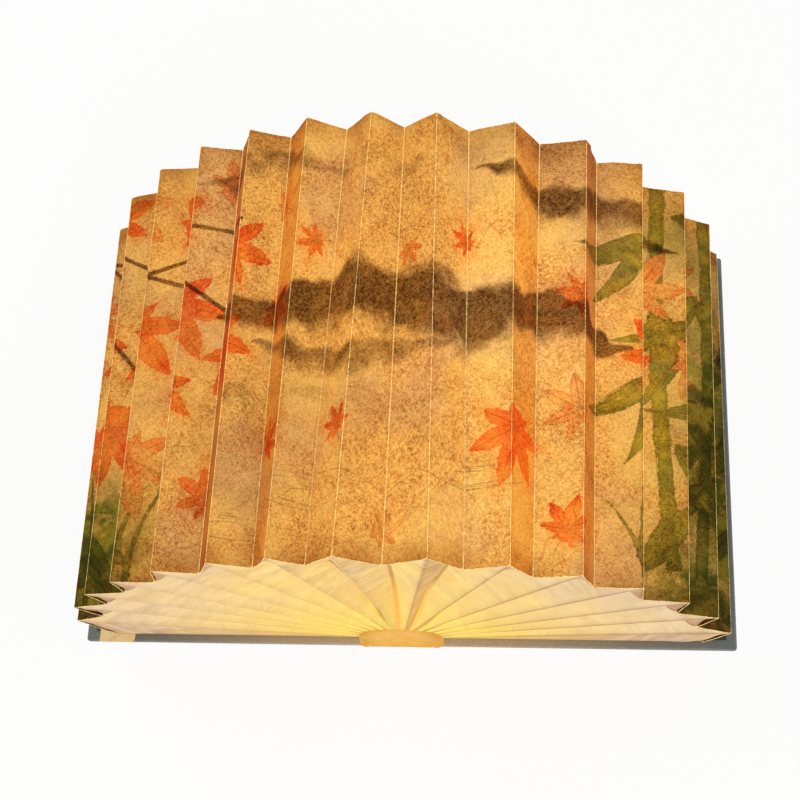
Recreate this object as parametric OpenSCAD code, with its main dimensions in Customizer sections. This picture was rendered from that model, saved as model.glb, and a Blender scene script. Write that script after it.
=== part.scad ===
// Folding book lamp: two hard covers that open flat round a paper shell of folded pages,
// lit by a slim light core on the spine.
// Millimetres. +X to the right over the open covers, +Y along the spine away from the
// viewer, +Z up. The origin is on the resting face, under the middle of the spine.
// Modelled open. Each page turns about its own line inside the light tunnel.

/* [Covers] */
// Length of the covers along the spine
cover_len = 216; // [190:1:260]
// Width over both covers when they lie open
open_w = 336; // [320:1:380]
// Thickness of the grey board inside each cover
board_t = 2.2; // [1.8:0.1:3]
// Thickness of the leatherette skin round the boards
wrap_t = 0.4; // [0.3:0.1:0.8]
// Width of the skin's rim turned in over the inner face
rim_w = 5; // [3:0.5:10]
// Thickness of the black paper glued inside the rim
endpaper_t = 0.3; // [0.1:0.1:0.3]
// Radius of the covers' outer corners
cover_corner_r = 1.5; // [0.5:0.5:4]
// Room round each board inside its skin
skin_room = 0.1; // [0.05:0.05:0.2]

/* [Spine] */
// Width of the bare groove at each fold
fold_gap = 3.6; // [3.6:0.2:5]
// Thickness of the doubled skin across a groove
groove_t = 0.8; // [0.4:0.1:1.2]
// Side room left for the closed pages between the covers
stack_room = 0.3; // [0.1:0.1:1]

/* [Pages] */
// Number of folded pages
page_n = 15; // [11:2:17]
// Thickness that one page takes when the book is shut
page_pitch = 1.2; // [1:0.1:2]
// Distance from the pages' ridges to the covers' fore edges
fore_margin = 3; // [2:0.5:10]
// Distance from the paper's ends to the covers' ends
head_margin = 3.5; // [2:0.5:10]
// Depth of the valleys between the ridges
valley_depth = 14; // [8:1:20]
// Height of the pages' common axis over the covers' inner faces
axis_lift = 1.2; // [1.2:0.1:4]
// Thickness of the printed skin, along a page
skin_t = 0.5; // [0.3:0.1:0.8]
// Thickness of the cream end webs
web_t = 0.4; // [0.3:0.1:0.8]
// How far a web sinks in at the middle of its fold
web_sink = 9; // [2:1:12]
// How far a web sinks in under the edge of the skin
web_lip = 1.5; // [1:0.5:8]
// How far a web sinks in at its root
web_root_sink = 1; // [0.5:0.5:3]
// Gap between neighbouring pieces of paper
paper_gap = 0.3; // [0.2:0.1:0.6]

/* [Lean of the pages] */
// Lean of the left pages towards the middle at the front, in degrees
front_lean_left = 3.6; // [0:0.1:5]
// Further lean of the first pages beside the left cover at the front, in degrees
front_lean_first = 2.2; // [0:0.1:3]
// Lean of the right pages towards the middle at the front, in degrees
front_lean_right = 1.9; // [0:0.1:4]
// Lean of the middle pages to the left at the front, in degrees
front_lean_middle = 2.6; // [0:0.1:3.5]
// Lean of the left pages towards the middle at the back, in degrees
back_lean_left = 4.4; // [0:0.1:6]
// Lean of the right pages towards the cover at the back, in degrees
back_lean_right = 2.4; // [0:0.1:3]
// Lean of the middle pages to the left at the back, in degrees
back_lean_middle = 1.9; // [0:0.1:3.5]

/* [Glue margins] */
// Width of the strip that is glued to each cover
margin_w = 16; // [10:1:24]
// Thickness of the glued strip
margin_t = 0.4; // [0.2:0.1:0.5]
// Length of the flap that is left showing at one corner
flap_len = 19; // [12:1:26]
// Radius of the flap's corner
flap_r = 2; // [1:0.5:3]

/* [Light tunnel] */
// Width of the amber film tunnel at its feet
tunnel_w = 43; // [36:1:56]
// Height of the tunnel's crown over the covers' inner faces
tunnel_h = 18.2; // [15:0.2:24]
// How square the tunnel's arch is, where 2 is round
tunnel_square = 2.6; // [2:0.1:4]
// Thickness of the film
film_t = 0.4; // [0.3:0.1:0.8]
// Gap between the film and what lies round it
film_gap = 0.3; // [0.2:0.1:0.6]

/* [Light core] */
// Width of the core's housing
core_w = 16; // [15:0.2:16.6]
// Distance from the paper's ends to the ends of the core
core_inset = 5.5; // [3:0.5:20]
// Thickness of the tape under the housing
tape_t = 0.2; // [0.1:0.1:0.4]
// Thickness of the housing's floor
floor_t = 0.8; // [0.6:0.1:1]
// Thickness of the housing's walls
wall_t = 1; // [0.8:0.1:1.2]
// Width of the ledges that carry the light board
ledge_w = 1; // [0.6:0.1:1.2]
// Height of the bay under the light board
bay_h = 3.4; // [3.4:0.1:3.6]
// Height of the room over the light board
lamp_room = 0.8; // [0.8:0.1:1]
// Thickness of the diffuser strip
diffuser_t = 0.7; // [0.5:0.1:0.9]
// Thickness of the end caps
cap_t = 1.5; // [1:0.1:3]
// Length of the plug on each end cap
cap_plug = 2; // [1:0.5:3]
// Clearance of a part that slips into the housing
slip = 0.2; // [0.1:0.05:0.3]

/* [Electronics] */
// Thickness of the light board
led_board_t = 0.8; // [0.6:0.1:1]
// Distance from one lamp chip to the next
led_pitch = 14; // [8:1:30]
// Length of a lamp chip
led_l = 3.5; // [2:0.1:5]
// Width of a lamp chip
led_w = 2.8; // [2:0.1:5]
// Height of a lamp chip
led_h = 0.6; // [0.4:0.05:0.7]
// Width of the flat battery
battery_w = 11; // [8:0.5:11]
// Length of the flat battery
battery_l = 58; // [30:1:70]
// Thickness of the flat battery
battery_t = 3.2; // [2:0.1:3.3]
// Width of the control board
control_w = 11; // [10:0.5:11]
// Length of the control board
control_l = 34; // [30:1:40]
// Thickness of the control board
control_t = 1; // [0.8:0.1:1]
// Width of the charge socket's shell
port_w = 8.9; // [8.5:0.1:9.2]
// Height of the charge socket's shell
port_h = 3.2; // [3:0.1:3.4]
// Depth of the charge socket's shell
port_d = 7.3; // [6:0.1:8]
// Wall of the charge socket's shell
port_wall = 0.3; // [0.2:0.05:0.4]
// How far the charge socket's mouth lies behind the end cap's face
port_recess = 0.4; // [0.2:0.1:0.8]
// Diameter of the leads
lead_d = 1.2; // [0.8:0.1:1.4]
// Distance between two leads
lead_pitch = 3; // [2:0.5:5]
// Length of a battery lead's end on the control board
lead_end = 4; // [2:0.5:6]
// Distance from the battery to the control board
battery_gap = 34; // [10:1:40]
// Distance from the control board's front end to the leads that rise to the light board
riser_inset = 8; // [6:0.5:12]
// Distance from the control board's rear end to the opening sensor
sensor_inset = 18; // [12:0.5:24]
// Room between the light board and the charge socket
port_room = 4; // [1:0.5:8]
// Least distance from the last lamp chip to the light board's end
led_end = 2; // [1:0.5:6]
// Width and length of the opening sensor
sensor_w = 4; // [3:0.5:5]
// Height of the opening sensor
sensor_h = 1.4; // [1:0.1:1.8]

/* [Magnets] */
// Diameter of the closing magnets
magnet_d = 8; // [5:0.5:12]
// Thickness of the closing magnets
magnet_t = 1.6; // [1:0.1:1.7]
// Distance from a closing magnet's centre to the fore edge
magnet_inset = 12; // [9:0.5:30]
// Distance between the two closing magnets of one cover
magnet_span = 160; // [100:5:170]
// Diameter of the small magnet that the sensor feels
switch_magnet_d = 5; // [3:0.5:6]
// Distance from the small magnet's centre to its fold
switch_magnet_x = 8; // [7:0.5:12]

/* [Hidden] */
$fn = 48;
eps = 0.01;

cover_t = board_t + 2 * wrap_t;
board_z = wrap_t;
inner_z = wrap_t + board_t;
endpaper_top = inner_z + endpaper_t;

// The stack of shut pages and one cover's thickness set how far apart the folds lie.
fold_x = (page_n * page_pitch + cover_t) / 2 + stack_room;
spine_x = fold_x - fold_gap / 2;
cover_in_x = fold_x + fold_gap / 2;
cover_out_x = open_w / 2;

axis_z = cover_t + axis_lift;
shell_r = cover_out_x - fore_margin;
shell_len = cover_len - 2 * head_margin;
valley_r = shell_r - valley_depth;
page_step = 180 / page_n;
half_step = page_step / 2;
middle_page = (page_n + 1) / 2;

core_len = shell_len - 2 * core_inset;
housing_len = core_len - 2 * cap_t;
core_z = inner_z + tape_t;
bay_z = core_z + floor_t;
led_board_z = bay_z + bay_h;
wall_top = led_board_z + led_board_t + lamp_room;
core_top = wall_top + diffuser_t;
led_board_w = core_w - 2 * wall_t - 2 * slip;
cap_inner_y = housing_len / 2;
port_mouth_y = core_len / 2 - port_recess;
control_end_y = cap_inner_y - cap_plug - slip;
led_board_l = 2 * (port_mouth_y - port_d - port_room);
led_n = floor((led_board_l - led_l - 2 * led_end) / led_pitch) + 1;
control_mid_y = control_end_y - control_l / 2;
battery_end_y = control_end_y - control_l - battery_gap;
sensor_y = control_end_y - sensor_inset;
led_lead_y = control_end_y - control_l + riser_inset;

PAGES = [for (k = [1 : page_n]) k];
function two_digits(k) = str(k < 10 ? "0" : "", k);
function skin_name(k) = str("page_skin_", two_digits(k));
function web_name(k) = str("page_webs_", two_digits(k));
function page_angle(k) = page_step * (k - 0.5);
// Angle that leaves half a paper gap beside a fold, at a radius.
function gap_angle(r) = asin(paper_gap / 2 / r);

// Radius of the tunnel's arch, measured from the pages' axis, at an angle over the left cover.
tunnel_rise = cover_t + tunnel_h - axis_z;
function arch_r(angle, in = 0) =
    pow(pow(abs(cos(angle)) / (tunnel_w / 2 - in), tunnel_square)
        + pow(abs(sin(angle)) / (tunnel_rise - in), tunnel_square), -1 / tunnel_square);

// Helpers

// Mirrors its children to the right half.
module right_side() {
    mirror([1, 0, 0]) children();
}

// A block that is centred on Y, from one X to another and from one Z to another.
module block(x0, x1, len, z0, z1) {
    translate([x0, -len / 2, z0]) cube([x1 - x0, len, z1 - z0]);
}

// A left cover's outline with round fore corners, drawn in by a given amount.
module cover_outline(in) {
    r = max(cover_corner_r - in, 0.2);
    x0 = -cover_out_x + in;
    x1 = -cover_in_x - in;
    y1 = cover_len / 2 - in;
    union() {
        translate([x0 + r, -y1]) square([x1 - x0 - r, 2 * y1]);
        translate([x0, -y1 + r]) square([x1 - x0, 2 * y1 - 2 * r]);
        for (s = [-1, 1]) translate([x0 + r, s * (y1 - r)]) circle(r);
    }
}

// Covers

module left_board_solid() {
    magnet_room = 0.15;
    difference() {
        translate([0, 0, board_z]) linear_extrude(board_t) cover_outline(wrap_t + skin_room);
        closing_magnet_places()
            translate([0, 0, inner_z - magnet_t - magnet_room])
                cylinder(d = magnet_d + 2 * magnet_room, h = board_t);
        switch_magnet_place()
            translate([0, 0, inner_z - magnet_t - magnet_room])
                cylinder(d = switch_magnet_d + 2 * magnet_room, h = board_t);
    }
}

module closing_magnet_places() {
    for (s = [-1, 1])
        translate([-cover_out_x + magnet_inset, s * magnet_span / 2, 0]) children();
}

module switch_magnet_place() {
    translate([-fold_x - switch_magnet_x, sensor_y, 0]) children();
}

module left_board() {
    color("tan") left_board_solid();
}

module right_board() {
    color("tan") right_side() left_board_solid();
}

// The skin goes under the board, up its edges and in over its inner face as a rim.
module cover_wrap() {
    difference() {
        linear_extrude(cover_t) cover_outline(0);
        translate([0, 0, board_z]) linear_extrude(board_t) cover_outline(wrap_t);
        translate([0, 0, inner_z - eps]) linear_extrude(cover_t) cover_outline(rim_w);
    }
}

module left_wrap() {
    color("dimgray") cover_wrap();
}

module right_wrap() {
    color("dimgray") right_side() cover_wrap();
}

module cover_endpaper() {
    translate([0, 0, inner_z]) linear_extrude(endpaper_t) cover_outline(rim_w + skin_room);
}

module left_endpaper() {
    color("black") cover_endpaper();
}

module right_endpaper() {
    color("black") right_side() cover_endpaper();
}

module closing_magnets() {
    closing_magnet_places()
        translate([0, 0, inner_z - magnet_t]) cylinder(d = magnet_d, h = magnet_t);
}

module left_closing_magnets() {
    color("silver") closing_magnets();
}

module right_closing_magnets() {
    color("silver") right_side() closing_magnets();
}

module switch_magnet() {
    color("silver") switch_magnet_place()
        translate([0, 0, inner_z - magnet_t]) cylinder(d = switch_magnet_d, h = magnet_t);
}

// Spine and folds

module spine_board() {
    in = wrap_t + skin_room;
    color("tan")
        block(-spine_x + in, spine_x - in, cover_len - 2 * in, board_z, inner_z);
}

// The spine's skin is open above, between its side walls and its turned-in ends.
module spine_wrap() {
    color("dimgray") difference() {
        block(-spine_x, spine_x, cover_len, 0, cover_t);
        block(-spine_x + wrap_t, spine_x - wrap_t, cover_len - 2 * wrap_t, board_z, inner_z);
        block(-spine_x + wrap_t, spine_x - wrap_t, cover_len - 2 * rim_w,
              inner_z - eps, cover_t + eps);
    }
}

module fold_strip() {
    mid_z = cover_t / 2;
    block(-cover_in_x, -spine_x, cover_len, mid_z - groove_t / 2, mid_z + groove_t / 2);
}

module left_fold_strip() {
    color("dimgray") fold_strip();
}

module right_fold_strip() {
    color("dimgray") right_side() fold_strip();
}

// Paper shell

// The folds don't run straight along the shell: handling leaves them leaning at both ends.
// A lean is in degrees towards the right, at a fold's angle over the left cover.
function bell(angle, middle, spread) = exp(-pow((angle - middle) / spread, 2));
function front_lean(angle) =
    cos(angle) * (angle < 90 ? front_lean_left : front_lean_right)
    + front_lean_first * exp(-angle / 22) - front_lean_middle * bell(angle, 87, 11);
function back_lean(angle) =
    back_lean_left * bell(angle, 44, 30) + back_lean_right * bell(angle, 170, 20)
    - back_lean_middle * bell(angle, 104, 13);

// The lean at a share t of the way from the front to the back. The folds on the covers have none.
function lean(angle, t) =
    min(1, min(angle, 180 - angle) / half_step)
    * (front_lean(angle) * (1 - t) + back_lean(angle) * t);

// A point of the shell at a radius and an angle, at a depth behind its front end.
function shell_point(r, angle, depth) =
    [-r * cos(angle), depth - shell_len / 2, axis_z + r * sin(angle)];

// The skin's section at a share t: left valley, ridge and right valley, outside and inside.
function skin_ring(k, t) =
    [for (p = [[-1, 0], [0, 0], [1, 0], [1, skin_t], [0, skin_t], [-1, skin_t]])
        let (fold = page_angle(k) + p[0] * half_step,
             r = (p[0] == 0 ? shell_r : valley_r) - p[1])
        shell_point(r, fold - p[0] * gap_angle(r) + lean(fold, t), t * shell_len)];

// The printed skin of one page is two leaves that meet in a ridge.
module page_skin(k) {
    n = 6;
    steps = 4;
    last = n * steps;
    walls = [for (s = [0 : steps - 1]) for (i = [0 : n - 1])
        let (a = s * n + i, b = s * n + (i + 1) % n)
        each [[a, a + n, b + n], [a, b + n, b]]];
    ends = [[0, 1, 4, 5], [1, 2, 3, 4],
        [last + 5, last + 4, last + 1, last], [last + 4, last + 3, last + 2, last + 1]];
    color("goldenrod") polyhedron(
        [for (s = [0 : steps]) each skin_ring(k, s / steps)], concat(walls, ends));
}

// One edge of a web from its root to the skin: side is 0 at the crease, -1 or 1 at a valley.
function web_edge(k, side, back, depth) =
    let (fold = page_angle(k) + side * half_step,
         r0 = arch_r(fold) + film_gap,
         r1 = (side == 0 ? shell_r : valley_r) - skin_t - paper_gap,
         sink = side == 0 ? [0, 0, 0] : [web_root_sink, web_sink, web_lip],
         t = sink[2] / shell_len,
         root = shell_point(r0, fold - side * gap_angle(r0), sink[0] + depth),
         rim = shell_point(r1, fold - side * gap_angle(r1) + lean(fold, back ? 1 - t : t),
                           sink[2] + depth),
         middle = (root + rim) / 2)
    [root, [middle[0], sink[1] + depth - shell_len / 2, middle[2]], rim];

// One web is a thin folded plate between a page's edge crease and the valley beside it.
module web(k, side, back) {
    n = 6;
    points = [for (depth = [0, web_t]) for (edge = [0, side]) each web_edge(k, edge, back, depth)];
    front = [[0, 3, 4], [0, 4, 1], [1, 4, 5], [1, 5, 2]];
    back = [for (f = front) [f[2] + n, f[1] + n, f[0] + n]];
    rim = [0, 1, 2, 5, 4, 3];
    walls = [for (i = [0 : n - 1])
        let (a = rim[i], b = rim[(i + 1) % n])
        each [[a, b, b + n], [a, b + n, a + n]]];
    faces = concat(front, back, walls);
    polyhedron(points, side > 0 ? faces : [for (f = faces) [f[2], f[1], f[0]]]);
}

// The webs close both ends of one page's slice of the shell.
module page_webs(k) {
    color("wheat")
        for (end = [0, 1]) mirror([0, end, 0])
            for (side = [-1, 1]) web(k, side, end == 1);
}

// The strip that holds the shell's first valley down on a cover.
module glue_margin() {
    block(-valley_r - margin_w / 2, -valley_r + margin_w / 2,
          shell_len - 2 * web_lip - 2 * web_t - 2 * paper_gap,
          endpaper_top, endpaper_top + margin_t);
}

// The flap lies on the rim, in front of the left cover's paper.
module front_flap() {
    y0 = -cover_len / 2;
    x0 = -valley_r - flap_len / 2;
    translate([x0, y0, cover_t]) linear_extrude(margin_t) union() {
        square([flap_len - flap_r, head_margin]);
        translate([0, flap_r]) square([flap_len, head_margin - flap_r]);
        translate([flap_len - flap_r, flap_r]) circle(flap_r);
    }
}

module left_glue_margin() {
    color("wheat") {
        glue_margin();
        front_flap();
    }
}

module right_glue_margin() {
    color("wheat") right_side() glue_margin();
}

// Light tunnel

// The left half of the tunnel's section, standing on its foot, drawn in by a given amount.
function tunnel_section(in) = concat(
    [[0, endpaper_top + film_gap], [-tunnel_w / 2 + in, endpaper_top + film_gap]],
    [for (a = [0 : 5 : 90])
        let (r = arch_r(a, in))
        [-r * cos(a), axis_z + r * sin(a)]]);

// The space under the tunnel, from the leaning front end back to a given Y.
module tunnel_space(in, back_y) {
    lean = atan((head_margin - film_gap) / tunnel_h);
    crown_y = -shell_len / 2;
    intersection() {
        rotate([90, 0, 0]) translate([0, 0, -back_y])
            linear_extrude(back_y + cover_len / 2) polygon(tunnel_section(in));
        translate([0, crown_y + in / cos(lean), cover_t + tunnel_h]) rotate([-lean, 0, 0])
            translate([-tunnel_w, 0, -2 * tunnel_h]) cube([2 * tunnel_w, cover_len, 3 * tunnel_h]);
    }
}

// Half of the film tunnel: an arch with a leaning front end, open at the back.
module tunnel_half() {
    back_y = shell_len / 2 - film_t;
    difference() {
        tunnel_space(0, back_y);
        translate([0, 0, -eps]) tunnel_space(film_t, back_y + 1);
        translate([-film_gap / 2, -cover_len, 0])
            cube([tunnel_w, 2 * cover_len, 2 * tunnel_h + cover_t]);
        translate([-tunnel_w, -cover_len / 2 - 1, 0])
            cube([2 * tunnel_w, cover_len, endpaper_top + film_gap]);
    }
}

module light_tunnel_left() {
    color("orange") tunnel_half();
}

module light_tunnel_right() {
    color("orange") right_side() tunnel_half();
}

// Light core

module core_tape() {
    in = wall_t;
    color("white") block(-core_w / 2 + in, core_w / 2 - in, housing_len, inner_z, core_z);
}

// A channel with two ledges; the bay between them holds the battery and the control board.
module core_housing() {
    w = core_w / 2;
    color("whitesmoke") difference() {
        block(-w, w, housing_len, core_z, wall_top);
        block(-w + wall_t + ledge_w, w - wall_t - ledge_w, housing_len + 1, bay_z, wall_top + 1);
        block(-w + wall_t, w - wall_t, housing_len + 1, led_board_z, wall_top + 1);
    }
}

// An end cap is a plate with a plug that slips into the bay.
module end_cap() {
    w = core_w / 2;
    plug_x = w - wall_t - ledge_w - slip;
    union() {
        translate([-w, cap_inner_y, core_z]) cube([core_w, cap_t, core_top - core_z]);
        translate([-plug_x, cap_inner_y - cap_plug, bay_z + slip])
            cube([2 * plug_x, cap_plug + eps, bay_h - 2 * slip]);
    }
}

module front_end_cap() {
    color("whitesmoke") mirror([0, 1, 0]) end_cap();
}

module rear_end_cap() {
    color("whitesmoke") difference() {
        end_cap();
        translate([-port_w / 2 - slip, cap_inner_y - cap_plug - 1, bay_z - eps])
            cube([port_w + 2 * slip, cap_t + cap_plug + 2, control_t + port_h + slip]);
    }
}

// The diffuser lies on the walls, with two ribs that hold the light board down.
module diffuser_strip() {
    w = core_w / 2;
    rib_x = w - wall_t - slip;
    rib_w = 0.8;
    color("white") union() {
        block(-w, w, housing_len, wall_top, core_top);
        for (s = [-1, 1])
            translate([s * (rib_x - rib_w / 2) - rib_w / 2, -led_board_l / 2, wall_top - lamp_room])
                cube([rib_w, led_board_l, lamp_room + eps]);
    }
}

module led_board() {
    color("white")
        block(-led_board_w / 2, led_board_w / 2, led_board_l,
              led_board_z, led_board_z + led_board_t);
}

module led_chips() {
    color("gold") for (i = [0 : led_n - 1])
        translate([-led_w / 2, (i - (led_n - 1) / 2) * led_pitch - led_l / 2,
                   led_board_z + led_board_t])
            cube([led_w, led_l, led_h]);
}

module battery() {
    color("silver") translate([-battery_w / 2, battery_end_y - battery_l, bay_z])
        cube([battery_w, battery_l, battery_t]);
}

module control_board() {
    color("green") translate([-control_w / 2, control_mid_y - control_l / 2, bay_z])
        cube([control_w, control_l, control_t]);
}

// Rounded outline of the charge socket's mouth, drawn in by a given amount.
module socket_outline(in) {
    r = port_h / 2 - in;
    union() {
        for (s = [-1, 1]) translate([s * (port_w - port_h) / 2, 0]) circle(r);
        translate([-(port_w - port_h) / 2, -r]) square([port_w - port_h, 2 * r]);
    }
}

// A shell with a blind mouth and a contact tongue.
module charge_socket() {
    tongue_w = port_w - 2.4;
    tongue_t = 0.7;
    back_t = 1;
    color("silver") translate([0, port_mouth_y, bay_z + control_t + port_h / 2])
        rotate([90, 0, 0]) union() {
            difference() {
                linear_extrude(port_d) socket_outline(0);
                translate([0, 0, -back_t]) linear_extrude(port_d) socket_outline(port_wall);
            }
            translate([-tongue_w / 2, -tongue_t / 2, back_t])
                cube([tongue_w, tongue_t, port_d - 1.5 * back_t]);
        }
}

module opening_sensor() {
    color("black")
        translate([-control_w / 2, sensor_y - sensor_w / 2, bay_z + control_t])
            cube([sensor_w, sensor_w, sensor_h]);
}

// Two leads run from the battery over the control board, and two rise to the light board.
module leads() {
    r = lead_d / 2;
    board_y = control_end_y - control_l;
    color("red") for (s = [-1, 1]) {
        translate([s * lead_pitch / 2, board_y + lead_end, bay_z + control_t + r]) rotate([90, 0, 0])
            cylinder(r = r, h = board_y + lead_end - battery_end_y);
        translate([s * lead_pitch / 2, led_lead_y, bay_z + control_t])
            cylinder(r = r, h = bay_h - control_t);
    }
}

spine_board();
spine_wrap();
left_board();
left_wrap();
left_endpaper();
left_fold_strip();
left_glue_margin();
left_closing_magnets();
switch_magnet();
right_board();
right_wrap();
right_endpaper();
right_fold_strip();
right_glue_margin();
right_closing_magnets();
light_tunnel_left();
light_tunnel_right();
core_tape();
core_housing();
front_end_cap();
rear_end_cap();
diffuser_strip();
led_board();
led_chips();
battery();
control_board();
charge_socket();
opening_sensor();
leads();
for (k = PAGES) {
    page_skin(k);
    page_webs(k);
}
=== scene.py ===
# Folding book lamp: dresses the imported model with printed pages, end webs, film and covers.
# Sizes of pieces are written in millimetres and set down in metres.

from math import cos, pi, radians, sin

import bmesh
import bpy
import numpy as np
from mathutils import Matrix, Vector


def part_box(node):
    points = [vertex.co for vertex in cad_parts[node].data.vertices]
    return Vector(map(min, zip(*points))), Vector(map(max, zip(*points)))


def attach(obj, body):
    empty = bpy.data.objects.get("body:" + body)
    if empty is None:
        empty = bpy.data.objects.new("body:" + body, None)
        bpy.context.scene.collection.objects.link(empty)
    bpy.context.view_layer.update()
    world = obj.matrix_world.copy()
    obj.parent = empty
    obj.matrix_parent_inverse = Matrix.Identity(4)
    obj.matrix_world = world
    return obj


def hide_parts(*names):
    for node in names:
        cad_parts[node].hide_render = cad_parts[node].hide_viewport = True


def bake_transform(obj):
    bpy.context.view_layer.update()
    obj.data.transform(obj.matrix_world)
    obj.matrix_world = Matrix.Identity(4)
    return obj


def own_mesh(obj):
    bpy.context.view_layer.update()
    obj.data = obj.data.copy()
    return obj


bl_info = {
    "name": "Folding Book Lamp",
    "version": (1, 0, 0),
    "blender": (4, 5, 0),
    "location": "3D View > Sidebar > Book Lamp",
    "description": "Models and finishes the pages, webs, film and covers of a folding book lamp",
    "category": "Object",
}

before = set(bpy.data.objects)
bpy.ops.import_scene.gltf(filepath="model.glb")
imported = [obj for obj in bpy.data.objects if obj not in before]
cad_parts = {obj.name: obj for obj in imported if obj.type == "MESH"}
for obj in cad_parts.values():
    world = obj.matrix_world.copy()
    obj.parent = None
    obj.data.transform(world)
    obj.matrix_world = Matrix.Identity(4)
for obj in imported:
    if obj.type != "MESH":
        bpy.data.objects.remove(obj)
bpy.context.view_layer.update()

MM = 0.001

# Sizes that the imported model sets, in millimetres
COVER_LOW, COVER_HIGH = (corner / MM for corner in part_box("right_wrap"))
COVER_OUT = COVER_HIGH.x
COVER_IN = COVER_LOW.x
COVER_END = COVER_HIGH.y
COVER_TOP = COVER_HIGH.z
SPINE_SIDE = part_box("spine_wrap")[1].x / MM
ENDPAPER_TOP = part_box("right_endpaper")[1].z / MM
AXIS_Z = 4.2
PAGES = 15
MIDDLE_PAGE = 8
PAGE_STEP = 180.0 / PAGES
HALF_STEP = PAGE_STEP / 2
RIDGE_R = 165.0
VALLEY_R = 151.0
PAPER_END = 104.5
LEAF_W = 21.6
TUNNEL_SIDE = 21.5
TUNNEL_TOP = 21.2
TUNNEL_SQUARE = 2.6
MARGIN_LOW, MARGIN_HIGH = (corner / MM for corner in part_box("right_glue_margin"))


# ---------------------------------------------------------------- values a user may change


def colour_value(name, description, default):
    return bpy.props.FloatVectorProperty(
        name=name, description=description, default=default, subtype="COLOR", size=3, min=0, max=1
    )


def length_value(name, description, default, low=0.0, high=0.05):
    return bpy.props.FloatProperty(
        name=name, description=description, default=default, min=low, max=high, unit="LENGTH",
        subtype="DISTANCE", precision=4,
    )


class LampSizes(bpy.types.PropertyGroup):
    """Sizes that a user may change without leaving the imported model's box."""

    skin_thickness: length_value("Skin thickness", "Thickness of the printed paper", 0.00035)
    web_thickness: length_value("Web thickness", "Thickness of the cream end webs", 0.0003)
    film_thickness: length_value("Film thickness", "Thickness of the amber film", 0.0004)
    wrap_thickness: length_value("Wrap thickness", "Thickness of the leatherette skin", 0.0004)
    skin_crumple: length_value("Skin crumple", "Height of the dents in the printed paper", 0.00045)
    web_crumple: length_value("Web crumple", "Height of the dents in the end webs", 0.0009)
    rim_width: length_value("Rim width", "Width of the rim turned in over the covers", 0.005)
    edge_round: length_value("Edge round", "Radius along the covers' edges", 0.0007)
    corner_round: length_value("Corner round", "Radius of the covers' outer corners", 0.0015)
    cell: length_value("Paper cell", "Side of a mesh cell of the printed paper", 0.0008, 0.0005)


class LampColours(bpy.types.PropertyGroup):
    """Colours of the lamp's finishes."""

    paper_light: colour_value("Paper, light", "Thin places of the printed paper", (1.0, 0.55, 0.120))
    paper_mid: colour_value("Paper, middle", "Body of the printed paper", (0.73, 0.27, 0.042))
    paper_dark: colour_value("Paper, dark", "Dense fibres of the printed paper", (0.50, 0.165, 0.026))
    paper_gold: colour_value("Paper, gold", "Glowing patches of the printed paper", (1.0, 0.64, 0.155))
    # Light line along the folds of the printed pages: partly wear, partly a painted highlight.
    fold_line: colour_value("Fold line", "Worn line along the folds", (1.0, 0.76, 0.30))
    maple: colour_value("Maple", "Ink of the orange leaves", (1.0, 0.21, 0.06))
    maple_pale: colour_value("Pale maple", "Ink of the peach leaves", (1.0, 0.50, 0.34))
    bamboo: colour_value("Bamboo", "Ink of the olive parts", (0.25, 0.35, 0.10))
    wash: colour_value("Wash", "Ink of the brown washes", (0.13, 0.066, 0.015))
    ink: colour_value("Ink", "Ink lines of the print", (0.14, 0.045, 0.008))
    web: colour_value("Web", "Cream paper of the end webs", (0.98, 0.72, 0.22))
    # Web root and web end carry painted lamp light: yellower beside the lamp, greyer at the outer ends.
    web_root: colour_value("Web root", "End webs beside the film", (1.0, 0.77, 0.16))
    web_end: colour_value("Web end", "Outer ends of the end webs", (0.78, 0.62, 0.44))
    film: colour_value("Film", "Amber film of the tunnel", (0.88, 0.455, 0.062))
    leather: colour_value("Leatherette", "Skin of the covers", (0.135, 0.148, 0.132))
    endpaper: colour_value("Endpaper", "Black paper inside the covers", (0.016, 0.012, 0.012))


def sizes():
    return bpy.context.scene.lamp_sizes


def colours():
    return bpy.context.scene.lamp_colours


# ---------------------------------------------------------------- small tools for meshes


def lone():
    """Leaves nothing selected, so that an operator acts on its own piece only."""
    if bpy.context.object and bpy.context.object.mode != "OBJECT":
        bpy.ops.object.mode_set(mode="OBJECT")
    bpy.ops.object.select_all(action="DESELECT")


def pick(piece):
    lone()
    piece.select_set(True)
    bpy.context.view_layer.objects.active = piece


def name_piece(name):
    piece = bpy.context.object
    piece.name = name
    piece.data.name = name
    return piece


def flat_grid(name, across, along):
    """A unit square of cells, whose corners lie at -0.5 and 0.5."""
    lone()
    bpy.ops.mesh.primitive_grid_add(x_subdivisions=across, y_subdivisions=along, size=1.0)
    return name_piece(name)


def corners_of(piece):
    spots = np.empty(len(piece.data.vertices) * 3)
    piece.data.vertices.foreach_get("co", spots)
    return spots.reshape(-1, 3)


def lay_out(piece, x, y, z):
    """Moves the vertices to places given in millimetres."""
    spots = np.column_stack([x, y, z]) * MM
    piece.data.vertices.foreach_set("co", spots.ravel())
    piece.data.update()


def store(piece, name, values):
    """Keeps a number at each vertex for the materials."""
    layer = piece.data.attributes.new(name, "FLOAT", "POINT")
    layer.data.foreach_set("value", np.asarray(values, np.float32))


def store_vector(piece, name, x, y, z):
    layer = piece.data.attributes.new(name, "FLOAT_VECTOR", "POINT")
    layer.data.foreach_set("vector", np.column_stack([x, y, z]).astype(np.float32).ravel())


def apply_modifier(piece, kind, **settings):
    modifier = piece.modifiers.new(kind.lower(), kind)
    for key, value in settings.items():
        setattr(modifier, key, value)
    pick(piece)
    bpy.ops.object.modifier_apply(modifier=modifier.name)


def thicken(piece, thickness, offset=-1.0):
    apply_modifier(piece, "SOLIDIFY", thickness=thickness, offset=offset, use_even_offset=False)


def smooth(piece, degrees=28):
    pick(piece)
    bpy.ops.object.shade_smooth_by_angle(angle=radians(degrees))


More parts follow.
